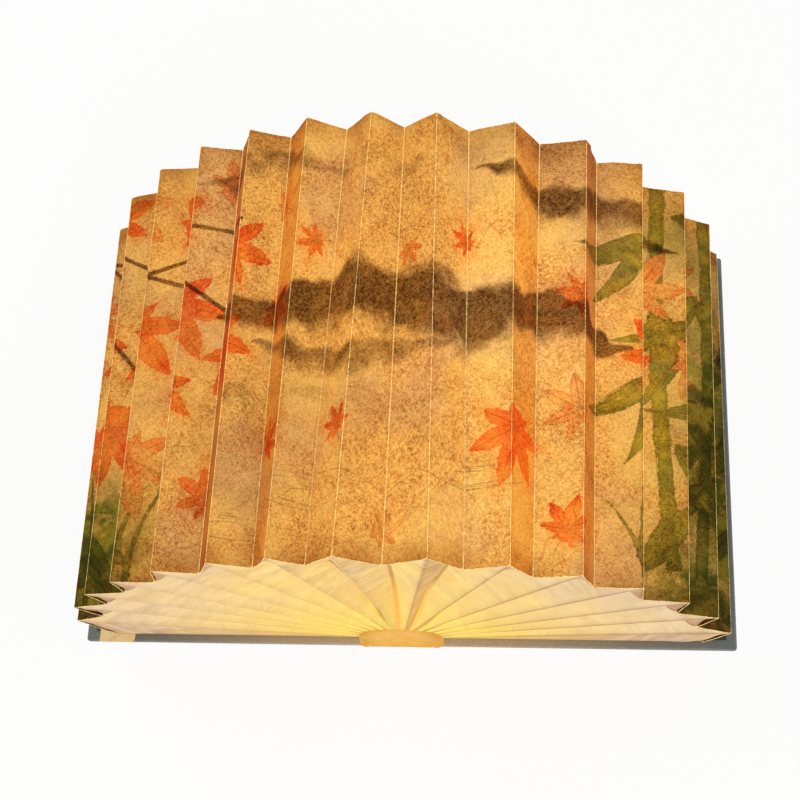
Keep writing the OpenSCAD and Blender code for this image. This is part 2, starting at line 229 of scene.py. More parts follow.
def edit(piece, mode="FACE"):
    pick(piece)
    bpy.ops.object.mode_set(mode="EDIT")
    bpy.ops.mesh.select_mode(type=mode)
    bpy.ops.mesh.select_all(action="DESELECT")
    return bmesh.from_edit_mesh(piece.data)


def show_selection(piece):
    bmesh.update_edit_mesh(piece.data)


def leave_edit():
    bpy.ops.object.mode_set(mode="OBJECT")


def join(pieces):
    pick(pieces[0])
    for piece in pieces[1:]:
        piece.select_set(True)
    bpy.ops.object.join()
    return bpy.context.object


def dress(piece, finish, body, *nodes):
    """Gives a piece its finish, its body and the nodes that it stands for."""
    piece.data.materials.clear()
    piece.data.materials.append(finish_named(finish))
    if body:
        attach(piece, body)
    if nodes:
        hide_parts(*nodes)


# ---------------------------------------------------------------- shared shapes of the paper


def ease(value, low, high):
    t = np.clip((value - low) / (high - low), 0, 1)
    return t * t * (3 - 2 * t)


def wrinkle(a, b, wave, seed):
    """A smooth random surface about -1 to 1 high, with waves of about one length."""
    random = np.random.default_rng(seed)
    total = 0
    for _ in range(7):
        heading, phase = random.uniform(0, 2 * pi, 2)
        stretch = wave * random.uniform(0.6, 1.7)
        total = total + np.sin(2 * pi * (a * cos(heading) + b * sin(heading)) / stretch + phase)
    return total / 3.2


def dents(a, b, wave, seed):
    """Crumpled paper: flat facets that meet in sharp lines."""
    return 1.1 * np.abs(wrinkle(a, b, wave, seed)) - 0.5 + 0.5 * np.abs(
        wrinkle(a, b, wave * 0.45, seed + 50)) - 0.25


def lean(angle, t):
    """How far a fold leans along the shell at an angle, in degrees: t is 0 at the front, 1 at the back."""
    slope = np.cos(np.radians(angle))
    front = (np.where(slope > 0, 3.6, 1.9) * slope + 2.2 * np.exp(-angle / 22.0)
             - 2.6 * np.exp(-((angle - 87) / 11) ** 2))
    back = (4.4 * np.exp(-((angle - 44) / 30) ** 2) + 2.4 * np.exp(-((angle - 170) / 20) ** 2)
            - 1.9 * np.exp(-((angle - 104) / 13) ** 2))
    ends = np.clip(np.minimum(angle, 180 - angle) / HALF_STEP, 0, 1)
    return (front * (1 - t) + back * t) * ends


def page_angle(page):
    return PAGE_STEP * (page - 0.5)


def around(radius, angle):
    """A point of a section, from the pages' axis, at an angle over the left cover."""
    turn = np.radians(angle)
    return -radius * np.cos(turn), AXIS_Z + radius * np.sin(turn)


def arch_radius(angle, inset=0.0):
    turn = np.radians(angle)
    wide = np.abs(np.cos(turn)) / (TUNNEL_SIDE - inset)
    high = np.abs(np.sin(turn)) / (TUNNEL_TOP - AXIS_Z - inset)
    return (wide ** TUNNEL_SQUARE + high ** TUNNEL_SQUARE) ** (-1 / TUNNEL_SQUARE)


def fold_places(page, t, inset=0.0):
    """The left valley, the ridge and the right valley of a page, as (x, z) pairs."""
    angle = page_angle(page)
    places = []
    for side, radius in ((-1, VALLEY_R), (0, RIDGE_R), (1, VALLEY_R)):
        at = angle + side * HALF_STEP
        slack = -side * 0.02
        places.append(around(radius - inset, at + lean(at, t) + slack))
    return places


def across_leaves(page, s, t, inset=0.0):
    """A point of the folded page: s is -1 at the left valley, 0 at the ridge, 1 at the right one."""
    (x0, z0), (x1, z1), (x2, z2) = fold_places(page, t, inset)
    w = np.abs(s)
    x = np.where(s < 0, x0, x2) * w + x1 * (1 - w)
    z = np.where(s < 0, z0, z2) * w + z1 * (1 - w)
    return x, z


def flatten_with_page(piece):
    """Gives the piece its own copy of its mesh."""
    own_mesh(piece)


def page_body(page):
    return "light_tunnel" if page == MIDDLE_PAGE else f"page_{page:02d}"


# ---------------------------------------------------------------- the print on the pages


def nearer(one, other):
    """The signed distance that is closer to zero."""
    return np.where(np.abs(other) < np.abs(one), other, one)


class Print:
    """Colour fields of the print, as signed distances to each shape's edge and to the ink lines."""

    FAR = 30.0

    def __init__(self, u, v):
        self.u = u
        self.v = v
        self.fills = {name: np.full(u.shape, self.FAR) for name in ("maple", "pale", "olive")}
        self.line = np.full(u.shape, self.FAR)
        self.wash = np.zeros(u.shape)
        self.moss = np.zeros(u.shape)

    def shape(self, fill, edge, veins=None):
        for name, field in self.fills.items():
            self.fills[name] = np.minimum(field, edge) if name == fill else np.maximum(field, -edge)
        self.line = np.where(edge < 0, self.FAR if veins is None else veins, self.line)

    def stroke(self, distance):
        self.line = nearer(self.line, distance)

    def near(self, u, v, turn):
        """Places along and across a heading from a point of the print."""
        du, dv = self.u - u, self.v - v
        c, s = cos(radians(turn)), sin(radians(turn))
        return du * c + dv * s, -du * s + dv * c

    def maple_leaf(self, u, v, size, turn, fill="maple"):
        a, b = self.near(u, v, turn)
        reach = np.hypot(a, b)
        heading = np.degrees(np.arctan2(b, a))
        outline = np.full(reach.shape, 0.30)
        veins = np.full(reach.shape, self.FAR)
        for lobe, share, width in ((0, 1.0, 19), (50, 0.92, 18), (-50, 0.92, 18), (98, 0.74, 18),
                                   (-98, 0.74, 18), (142, 0.46, 17), (-142, 0.46, 17)):
            turned_off = (heading - lobe + 180) % 360 - 180
            off = np.abs(turned_off)
            tooth = 0.05 * np.abs(((reach / size * 7) % 1) - 0.5)
            outline = np.maximum(outline, share * np.clip(1 - off / (width * 1.9), 0, 1) ** 0.75
                                 - tooth * (off > 3))
            along = reach * np.cos(np.radians(off))
            veins = np.where((off < 60) & (along < share * size * 0.92),
                             nearer(veins, reach * np.sin(np.radians(turned_off))), veins)
        edge = (reach - outline * size) * 0.75
        self.shape(fill, edge, veins)
        stem = np.where((a < 0) & (a > -size * 0.75), b - 0.12 * a * np.sin(a / size * 3), self.FAR)
        self.stroke(np.where(edge > 0, stem, self.FAR))

    def long_leaf(self, u, v, length, width, turn, bend=0.15):
        a, b = self.near(u, v, turn)
        t = np.clip(a / length, 0, 1)
        middle = bend * length * t * (1 - t) * 2 - bend * length * t ** 2
        half = width * np.sin(pi * t ** 0.7) ** 0.9 * (1 - 0.35 * t)
        beyond = np.maximum(-a, a - length)
        edge = np.where(beyond > 0, np.hypot(np.maximum(beyond, 0), b - middle),
                        np.abs(b - middle) - half)
        veins = nearer(b - middle, np.abs(b - middle) - half * 0.5)
        self.shape("olive", edge, veins)

    def stalk(self, u, v0, v1, half, sway, joint_gap):
        t = (self.v - v0) / (v1 - v0)
        middle = u + sway * np.sin(t * 2.2)
        place = (self.v - v0) / joint_gap
        near_joint = (place - np.round(place)) * joint_gap
        swell = half * (1 + 0.22 * np.exp(-(near_joint / 1.6) ** 2))
        edge = np.maximum(np.abs(self.u - middle) - swell, np.maximum(v0 - self.v, self.v - v1))
        self.shape("olive", edge, near_joint)

    def blade(self, u, v, height, sway):
        t = np.clip((self.v - v) / height, 0, 1)
        middle = u + sway * t ** 2
        edge = np.abs(self.u - middle) - 1.5 * (1 - t) ** 0.7
        edge = np.where((self.v < v) | (self.v > v + height), self.FAR, edge)
        self.shape("olive", edge, None)

    def cloud(self, u, v, wide, high, seed, depth=1.0):
        """A long wash with a scalloped top and a soft foot."""
        a = (self.u - u) / wide
        body = np.zeros(a.shape)
        random = np.random.default_rng(seed)
        for place in np.linspace(-0.85, 0.85, 9):
            lump = (1 - 0.6 * abs(place)) * high * random.uniform(0.55, 1.1)
            size = wide * random.uniform(0.16, 0.26)
            rise = v + lump * 0.45 + random.uniform(-0.15, 0.15) * high
            d = np.hypot((self.u - u - place * wide) / size, (self.v - rise) / (lump * 0.75 + 2))
            body = np.maximum(body, ease(-d, -1.12, -0.72) * random.uniform(0.7, 1.0))
        foot = np.exp(-(((self.v - v + high * 0.35) / (high * 0.9)) ** 2)) * np.clip(
            1 - np.abs(a), 0, 1) ** 0.6
        self.wash = np.maximum(self.wash, depth * np.clip(body * 0.95, 0, 1))
        self.wash = np.maximum(self.wash, depth * 0.55 * foot)

    def brush(self, points, width, depth):
        """A sweep of a wet brush: soft, and widest in its middle."""
        u = self.u + 3.0 * wrinkle(self.u, self.v, 46, 21) + 1.6 * wrinkle(self.u, self.v, 15, 22)
        v = self.v + 2.2 * wrinkle(self.u, self.v, 40, 23) + 1.8 * wrinkle(self.u, self.v, 13, 24)
        share = 0.0
        step = 1.0 / (len(points) - 1)
        for (u0, v0), (u1, v1) in zip(points, points[1:]):
            du, dv = u1 - u0, v1 - v0
            t = np.clip(((u - u0) * du + (v - v0) * dv) / (du * du + dv * dv), 0, 1)
            off_u, off_v = u - u0 - t * du, v - v0 - t * dv
            d = np.hypot(off_u, off_v * np.where(off_v > 0, 1.5, 0.7))
            reach = width * (0.10 + 0.90 * np.sin(pi * (share + t * step)) ** 0.8)
            self.wash = np.maximum(self.wash, depth * ease(-d, -reach, -0.15 * reach))
            share += step

    def glade(self, u, v, wide, high, depth):
        """A soft olive wash behind leaves."""
        d = np.hypot((self.u - u) / wide, (self.v - v) / high)
        self.moss = np.maximum(self.moss, depth * ease(-d, -1.15, -0.30))

    def ripple(self, u, v, wide, high, rings):
        for ring in range(rings):
            share = (ring + 1) / rings
            a, b = (self.u - u) / (wide * share), (self.v - v) / (high * share)
            d = np.hypot(a, b)
            slope = np.hypot(a / (wide * share), b / (high * share)) / np.maximum(d, 0.01)
            gap = np.arctan2(b, a) + ring * 1.9
            self.stroke(np.where(np.sin(gap) > -0.55, (d - 1) / np.maximum(slope, 0.001), self.FAR))

    def twig(self, points):
        for (u0, v0), (u1, v1) in zip(points, points[1:]):
            du, dv = u1 - u0, v1 - v0
            t = np.clip(((self.u - u0) * du + (self.v - v0) * dv) / (du * du + dv * dv), 0, 1)
            d = np.hypot(self.u - u0 - t * du, self.v - v0 - t * dv)
            self.wash = np.maximum(self.wash, ease(-d, -1.7, -0.4))


def draw_print(u, v):
    """A generic design: maple sprays, bamboo, cloud washes, ripples and reeds."""
    art = Print(u, v)
    art.cloud(352, 12, 92, 16, 11, 0.75)
    art.brush([(214, 16), (270, 14), (330, 24), (388, 12), (440, 20), (492, 4)], 22, 1.0)
    art.brush([(252, -4), (316, -13), (380, -4)], 12, 0.60)
    art.cloud(262, -30, 46, 8, 12, 0.38)
    art.brush([(392, 84), (440, 74), (486, 82), (536, 70)], 15, 0.80)
    art.cloud(330, 80, 44, 8, 14, 0.36)
    art.brush([(196, 84), (250, 92), (306, 82)], 13, 0.52)
    art.glade(622, -26, 96, 128, 1.3)
    art.glade(76, -100, 112, 66, 1.7)
    art.glade(598, -112, 110, 66, 1.5)
    art.glade(552, 78, 46, 26, 0.6)
    art.ripple(300, -74, 42, 9, 4)
    art.ripple(392, -64, 30, 6, 3)
    art.ripple(246, -88, 22, 5, 2)
    for u0, sway, half in ((497, 7, 2.6), (533, -8, 3.6), (574, 6, 3.0), (612, -4, 3.2), (634, 3, 2.6)):
        art.stalk(u0, -104.5 + 14, 104.5, half, sway, 31)
    for u0, v0, length, width, turn in (
            (497, 66, 50, 6.2, 205), (497, 64, 46, 5.6, 240), (500, 64, 40, 5.4, 300),
            (533, 34, 56, 7.0, 212), (535, 33, 52, 6.6, 255), (536, 33, 48, 6.0, 318),
            (533, 90, 44, 5.5, 330), (574, 60, 55, 6.8, 226), (574, 58, 50, 6.2, 292),
            (573, 2, 56, 7.2, 205), (575, 0, 56, 7.0, 250), (576, 2, 44, 6.0, 310),
            (500, -6, 44, 5.6, 215), (500, -8, 42, 5.4, 262), (612, 34, 50, 6.4, 238),
            (612, -20, 48, 6.2, 215), (612, 84, 40, 5.2, 222), (534, -30, 46, 6.0, 300),
            (612, 10, 46, 7.4, 262), (634, 60, 48, 6.6, 250), (634, 4, 50, 7.2, 236),
            (634, -48, 46, 6.4, 222), (576, -40, 44, 7.0, 222), (574, -36, 40, 6.4, 318),
            (536, -62, 44, 8.0, 238), (538, -60, 42, 7.6, 300), (606, -66, 40, 8.0, 250),
            (34, -66, 44, 8.4, 236), (40, -60, 46, 8.2, 300), (88, -74, 40, 8.0, 208),
            (96, -78, 42, 8.4, 320), (128, -88, 34, 6.6, 352), (60, -92, 36, 7.4, 10)):
        art.long_leaf(u0, v0, length, width, turn)
    for u0, height, sway in ((64, 62, -14), (72, 74, -6), (84, 66, 9), (92, 84, 18), (150, 46, 14),
                             (158, 58, 24), (46, 52, -10), (498, 40, -18), (590, 56, 12)):
        art.blade(u0, -104.5, height, sway)
    art.twig([(20, 104), (60, 84), (104, 72), (150, 46), (192, 34), (236, 8)])
    art.twig([(60, 84), (92, 52), (108, 22), (134, -6)])
    art.twig([(150, 46), (196, 62), (238, 58)])
    for u0, v0, size, turn, fill in (
            (58, 58, 25, 250, "pale"), (100, 92, 24, 20, "maple"), (136, 82, 28, 320, "pale"),
            (94, 26, 31, 245, "maple"), (176, 70, 26, 12, "maple"), (214, 82, 19, 50, "pale"),
            (146, 20, 37, 262, "maple"), (190, 22, 31, 300, "maple"), (112, -22, 38, 255, "maple"),
            (232, 44, 24, 345, "maple"), (152, -46, 31, 285, "pale"), (226, 0, 27, 292, "maple"),
            (186, -18, 24, 270, "maple"), (262, 66, 15, 20, "pale"), (262, 16, 17, 330, "maple"),
            (70, -22, 27, 230, "maple"), (516, 46, 27, 60, "pale"), (544, 14, 30, 350, "pale"),
            (508, 4, 24, 130, "maple"), (556, 66, 20, 30, "pale")):
        art.maple_leaf(u0, v0, size, turn, fill)
    for u0, v0, size, turn, fill in (
            (292, 44, 11, 200, "maple"), (318, -46, 12, 120, "maple"), (352, 40, 9, 300, "pale"),
            (268, -52, 14, 40, "maple"), (414, -44, 27, 250, "maple"), (388, 46, 10, 160, "maple"),
            (446, -84, 17, 70, "maple"), (344, -90, 10, 10, "pale"), (452, 26, 13, 220, "maple"),
            (452, -30, 19, 150, "pale"), (216, -70, 16, 150, "maple")):
        art.maple_leaf(u0, v0, size, turn, fill)
    return art


# ---------------------------------------------------------------- small tools for materials


def feed(tree, socket, value):
    """Links an output to a socket, or sets the socket to a number or colour."""
    if isinstance(value, bpy.types.NodeSocket):
        tree.links.new(value, socket)
    elif socket.type == "RGBA" and len(value) == 3:
        socket.default_value = (*value, 1.0)
    else:
        socket.default_value = value


def add(tree, kind, **settings):
    node = tree.nodes.new("ShaderNode" + kind)
    for key, value in settings.items():
        setattr(node, key, value)
    return node


def calc(tree, operation, a, b=None, c=None, clamp=False):
    node = add(tree, "Math", operation=operation, use_clamp=clamp)
    for socket, value in zip(node.inputs, (a, b, c)):
        if value is not None:
            feed(tree, socket, value)
    return node.outputs[0]


def mix(tree, factor, a, b, blend="MIX"):
    node = add(tree, "Mix", data_type="RGBA", blend_type=blend)
    feed(tree, node.inputs[0], factor)
    feed(tree, node.inputs[6], a)
    feed(tree, node.inputs[7], b)
    return node.outputs[2]


def span(tree, value, low, high, to_low=0.0, to_high=1.0, soft=True):
    node = add(tree, "MapRange", interpolation_type="SMOOTHSTEP" if soft else "LINEAR")
    for socket, entry in zip(node.inputs, (value, low, high, to_low, to_high)):
        feed(tree, socket, entry)
    return node.outputs[0]


def noise(tree, vector, scale, detail=2.0, roughness=0.5, distortion=0.0):
    node = add(tree, "TexNoise")
    feed(tree, node.inputs["Vector"], vector)
    feed(tree, node.inputs["Scale"], scale)
    feed(tree, node.inputs["Detail"], detail)
    feed(tree, node.inputs["Roughness"], roughness)
    feed(tree, node.inputs["Distortion"], distortion)
    return node.outputs[0]


def cells(tree, vector, scale, feature="F1"):
    node = add(tree, "TexVoronoi", feature=feature)
    feed(tree, node.inputs["Vector"], vector)
    feed(tree, node.inputs["Scale"], scale)
    return node.outputs[0]


def turned(tree, vector, turn=0.0, stretch=(1.0, 1.0, 1.0)):
    """Turns a place, and then stretches the pattern that is laid over it."""
    node = add(tree, "Mapping", vector_type="TEXTURE")
    feed(tree, node.inputs["Vector"], vector)
    node.inputs["Rotation"].default_value = (0, 0, radians(turn))
    node.inputs["Scale"].default_value = [1 / share for share in stretch]
    return node.outputs[0]


def from_mesh(tree, name, vector=False):
    node = add(tree, "Attribute", attribute_name=name)
    return node.outputs["Vector" if vector else "Fac"]


def from_object(tree):
    return add(tree, "TexCoord").outputs["Object"]


def axes(tree, vector):
    node = add(tree, "SeparateXYZ")
    feed(tree, node.inputs[0], vector)
    return node.outputs


def bump(tree, height, strength, distance):
    node = add(tree, "Bump")
    feed(tree, node.inputs["Height"], height)
    node.inputs["Strength"].default_value = strength
    node.inputs["Distance"].default_value = distance
    return node.outputs[0]


KINDS = {"value": "NodeSocketFloat", "vector": "NodeSocketVector", "colour": "NodeSocketColor"}


def shared_group(name, inputs, outputs, build):
    """A node group that several materials use, built once."""
    group = bpy.data.node_groups.get(name)
    if group:
        return group
    group = bpy.data.node_groups.new(name, "ShaderNodeTree")
    for label, kind, default in inputs:
        socket = group.interface.new_socket(label, in_out="INPUT", socket_type=KINDS[kind])
        if default is not None:
            socket.default_value = default
    for label, kind in outputs:
        group.interface.new_socket(label, in_out="OUTPUT", socket_type=KINDS[kind])
    enter = group.nodes.new("NodeGroupInput").outputs
    leave = group.nodes.new("NodeGroupOutput").inputs
    build(group, enter, leave)
    return group


def use(tree, group, **values):
    node = tree.nodes.new("ShaderNodeGroup")
    node.node_tree = group
    for label, value in values.items():
        feed(tree, node.inputs[label.replace("_", " ")], value)
    return node.outputs


def paper_fibres():
    """Long and short fibres of handmade paper, and the soft patches between them."""

    def build(tree, enter, leave):
        place = enter["Place"]

        def grain(turn, stretch, scale, detail, distortion):
            vector = turned(tree, place, turn, (1, stretch, 1)) if stretch else place
            return noise(tree, vector, calc(tree, "MULTIPLY", enter["Density"], scale), detail,
                         0.62, distortion)

        fine = grain(0, 0, 620.0, 5, 0.6)
        strands = calc(tree, "MAXIMUM", grain(34, 0.16, 520.0, 4, 0.5),
                       grain(-47, 0.14, 460.0, 4, 0.6))
        total = calc(tree, "ADD", calc(tree, "MULTIPLY", fine, 0.50),
                     calc(tree, "MULTIPLY", strands, 0.50))
        feed(tree, leave["Fibre"], span(tree, total, 0.42, 0.66, soft=False))
        feed(tree, leave["Patch"], span(tree, grain(0, 0, 46.0, 4, 0.8), 0.3, 0.7))
        curls = []
        for turn, scale in ((12, 620.0), (66, 500.0)):
            wave = calc(tree, "ABSOLUTE", calc(tree, "SUBTRACT", grain(turn, 0.7, scale, 2, 1.6), 0.5))
            curls.append(span(tree, wave, 0.060, 0.0))
        curl = calc(tree, "MULTIPLY", calc(tree, "MAXIMUM", *curls), span(tree, fine, 0.34, 0.56))
        feed(tree, leave["Curl"], curl)
        hair = calc(tree, "MAXIMUM", grain(58, 0.10, 150.0, 5, 0.9), grain(-28, 0.09, 170.0, 5, 0.8))
        feed(tree, leave["Hair"], span(tree, hair, 0.50, 0.70))
        feed(tree, leave["Height"], total)

    return shared_group(
        "paper_fibres", [("Place", "vector", None), ("Density", "value", 1.0)],
        [("Fibre", "value"), ("Patch", "value"), ("Hair", "value"), ("Curl", "value"),
         ("Height", "value")], build)


def crumple_lines():
    """Thin bent creases that handling leaves in paper."""

    def build(tree, enter, leave):
        place = enter["Place"]
        drift = add(tree, "TexNoise")
        feed(tree, drift.inputs["Vector"], place)
        drift.inputs["Scale"].default_value = 34.0
        drift.inputs["Detail"].default_value = 2.0
        shift = add(tree, "VectorMath", operation="SCALE")
        feed(tree, shift.inputs[0], drift.outputs[1])
        shift.inputs["Scale"].default_value = 0.012
        moved = add(tree, "VectorMath", operation="ADD")
        feed(tree, moved.inputs[0], place)
        feed(tree, moved.inputs[1], shift.outputs[0])
        wide = cells(tree, moved.outputs[0], enter["Density"], "DISTANCE_TO_EDGE")
        tiles = add(tree, "TexVoronoi")
        feed(tree, tiles.inputs["Vector"], moved.outputs[0])
        feed(tree, tiles.inputs["Scale"], calc(tree, "MULTIPLY", enter["Density"], 1.9))
        feed(tree, leave["Facet"], axes(tree, tiles.outputs[1])[0])
        some = span(tree, noise(tree, place, 26.0, 2), 0.46, 0.6)
        line = span(tree, wide, 0.0, enter["Width"], 1.0, 0.0)
        feed(tree, leave["Line"], calc(tree, "MULTIPLY", line, some))
        feed(tree, leave["Height"], wide)

    return shared_group(
        "crumple_lines",
        [("Place", "vector", None), ("Density", "value", 40.0), ("Width", "value", 0.02)],
        [("Line", "value"), ("Facet", "value"), ("Height", "value")], build)


def print_layer():
    """Lays one printed colour over the paper, as a wet wash inside the shape that a distance gives."""

    def build(tree, enter, leave):
        rough = calc(tree, "MULTIPLY", calc(tree, "SUBTRACT", enter["Fibre"], 0.5),
                     enter["Bleed"])
        wander = calc(tree, "MULTIPLY", calc(tree, "SUBTRACT", enter["Blot"], 0.5), 5.0)
        edge = calc(tree, "ADD", enter["Distance"], calc(tree, "ADD", rough, wander))
        inside = span(tree, edge, 0.45, -0.35)
        pool = span(tree, enter["Blot"], 0.30, 0.62, 0.86, 1.0)
        strength = calc(tree, "MULTIPLY", inside, calc(tree, "MULTIPLY", pool, span(
            tree, enter["Fibre"], 0.0, 1.0, 1.0, enter["Thin"], False)))
        rim = span(tree, edge, -0.1, -2.2, 1.0, 0.0)
        deep = mix(tree, 1.0, enter["Ink"], enter["Deep"], "MULTIPLY")
        ink = mix(tree, span(tree, enter["Hue"], 0.36, 0.64), enter["Ink"], enter["Turn"])
        ink = mix(tree, calc(tree, "MULTIPLY", rim, 0.30), ink, deep)
        ink = mix(tree, span(tree, enter["Blot"], 0.50, 0.72, 0.0, 0.45), ink, deep)
        bled = span(tree, enter["Distance"], 11.0, -2.0, 0.0, enter["Halo"])
        under = mix(tree, calc(tree, "MULTIPLY", bled, span(tree, enter["Hue"], 0.35, 0.6)),
                    enter["Under"], mix(tree, 0.62, enter["Under"], enter["Turn"], "MULTIPLY"))
        feed(tree, leave["Colour"], mix(tree, strength, under,
                                        mix(tree, 1.0, enter["Under"], ink, "MULTIPLY")))

    return shared_group(
        "print_layer",
        [("Under", "colour", (1, 1, 1, 1)), ("Ink", "colour", (0, 0, 0, 1)),
         ("Deep", "colour", (0.5, 0.4, 0.3, 1)), ("Turn", "colour", (1, 1, 1, 1)),
         ("Distance", "value", 1.0), ("Fibre", "value", 0.5), ("Blot", "value", 0.5),
         ("Hue", "value", 0.5), ("Bleed", "value", 0.3), ("Thin", "value", 0.8),
         ("Halo", "value", 0.4)],
        [("Colour", "colour")], build)


def fold_wear_and_shading():
    """A line along each fold in the given colour, with painted shade beside it. On the printed pages the
    line is light, partly wear and partly a painted highlight; on the end webs it is a dark line of painted
    shade.
    """

    def build(tree, enter, leave):
        distance = enter["Distance"]
        broken = span(tree, enter["Fibre"], 0.1, 0.7, 0.55, 1.0, False)
        line = calc(tree, "MULTIPLY", span(tree, distance, enter["Width"], 0.05), broken)
        worn = mix(tree, calc(tree, "MULTIPLY", line, enter["Amount"]), enter["Under"],
                   enter["Worn"])
        # Painted shade beside the fold.
        shade = span(tree, distance, 2.4, 0.5, 0.0, 0.16)
        shaded = mix(tree, shade, enter["Under"],
                     mix(tree, 1.0, enter["Under"], (0.55, 0.42, 0.35), "MULTIPLY"))
        feed(tree, leave["Colour"], mix(tree, line, shaded, worn))

    return shared_group(
        "fold_wear_and_shading",
        [("Under", "colour", (1, 1, 1, 1)), ("Worn", "colour", (1, 1, 1, 1)),
         ("Distance", "value", 1.0), ("Fibre", "value", 0.5), ("Width", "value", 0.4),
         ("Amount", "value", 0.8)],
        [("Colour", "colour")], build)


def lamp_glow():
    """Light of the lamp through a sheet: deeper and redder where the sheet faces away from the light,
    which is painted shade.
    """

    def build(tree, enter, leave):
        low = span(tree, enter["Open"], 0.0, 0.5, soft=False)
        high = span(tree, enter["Open"], 0.5, 1.0, soft=False)
        tint = mix(tree, high, mix(tree, low, enter["Deep"], enter["Half"]), (1.0, 1.0, 1.0))
        lit = mix(tree, 1.0, enter["Sheet"], tint, "MULTIPLY")
        feed(tree, leave["Tinted"], lit)
        level = add(tree, "CombineColor")
        for socket in level.inputs[:3]:
            feed(tree, socket, enter["Level"])
        feed(tree, leave["Colour"], mix(tree, 1.0, lit, level.outputs[0], "MULTIPLY"))

    return shared_group(
        "lamp_glow",
        [("Sheet", "colour", (1, 1, 1, 1)), ("Deep", "colour", (0.6, 0.36, 0.2, 1)),
         ("Half", "colour", (0.9, 0.7, 0.4, 1)), ("Open", "value", 1.0), ("Level", "value", 1.0)],
        [("Tinted", "colour"), ("Colour", "colour")], build)


def leather_grain():
    """Pebbled grain with fine pores."""

    def build(tree, enter, leave):
        place = enter["Place"]
        pebbles = cells(tree, place, enter["Density"], "SMOOTH_F1")
        pores = noise(tree, place, calc(tree, "MULTIPLY", enter["Density"], 2.6), 3, 0.6)
        height = calc(tree, "ADD", calc(tree, "MULTIPLY", pebbles, -0.8),
                      calc(tree, "MULTIPLY", pores, 0.45))
        feed(tree, leave["Height"], height)
        feed(tree, leave["Tone"], span(tree, height, -0.35, 0.25))

    return shared_group(
        "leather_grain", [("Place", "vector", None), ("Density", "value", 1400.0)],
        [("Height", "value"), ("Tone", "value")], build)


def wear_and_dust():
    """Uneven patches of handling, and specks of dust."""

    def build(tree, enter, leave):
        place = enter["Place"]
        patch = noise(tree, place, calc(tree, "MULTIPLY", enter["Density"], 30.0), 5, 0.6, 0.5)
        feed(tree, leave["Patch"], span(tree, patch, 0.35, 0.68))
        specks = cells(tree, place, calc(tree, "MULTIPLY", enter["Density"], 420.0))
        some = noise(tree, place, calc(tree, "MULTIPLY", enter["Density"], 90.0), 2)
        feed(tree, leave["Dust"], calc(tree, "MULTIPLY", span(tree, specks, 0.16, 0.05),
                                       span(tree, some, 0.55, 0.7)))

    return shared_group(
        "wear_and_dust", [("Place", "vector", None), ("Density", "value", 1.0)],
        [("Patch", "value"), ("Dust", "value")], build)


# ---------------------------------------------------------------- finishes


def new_finish(name):
    material = bpy.data.materials.new(name)
    material.use_nodes = True
    tree = material.node_tree
    shader = tree.nodes["Principled BSDF"]
    return material, tree, shader


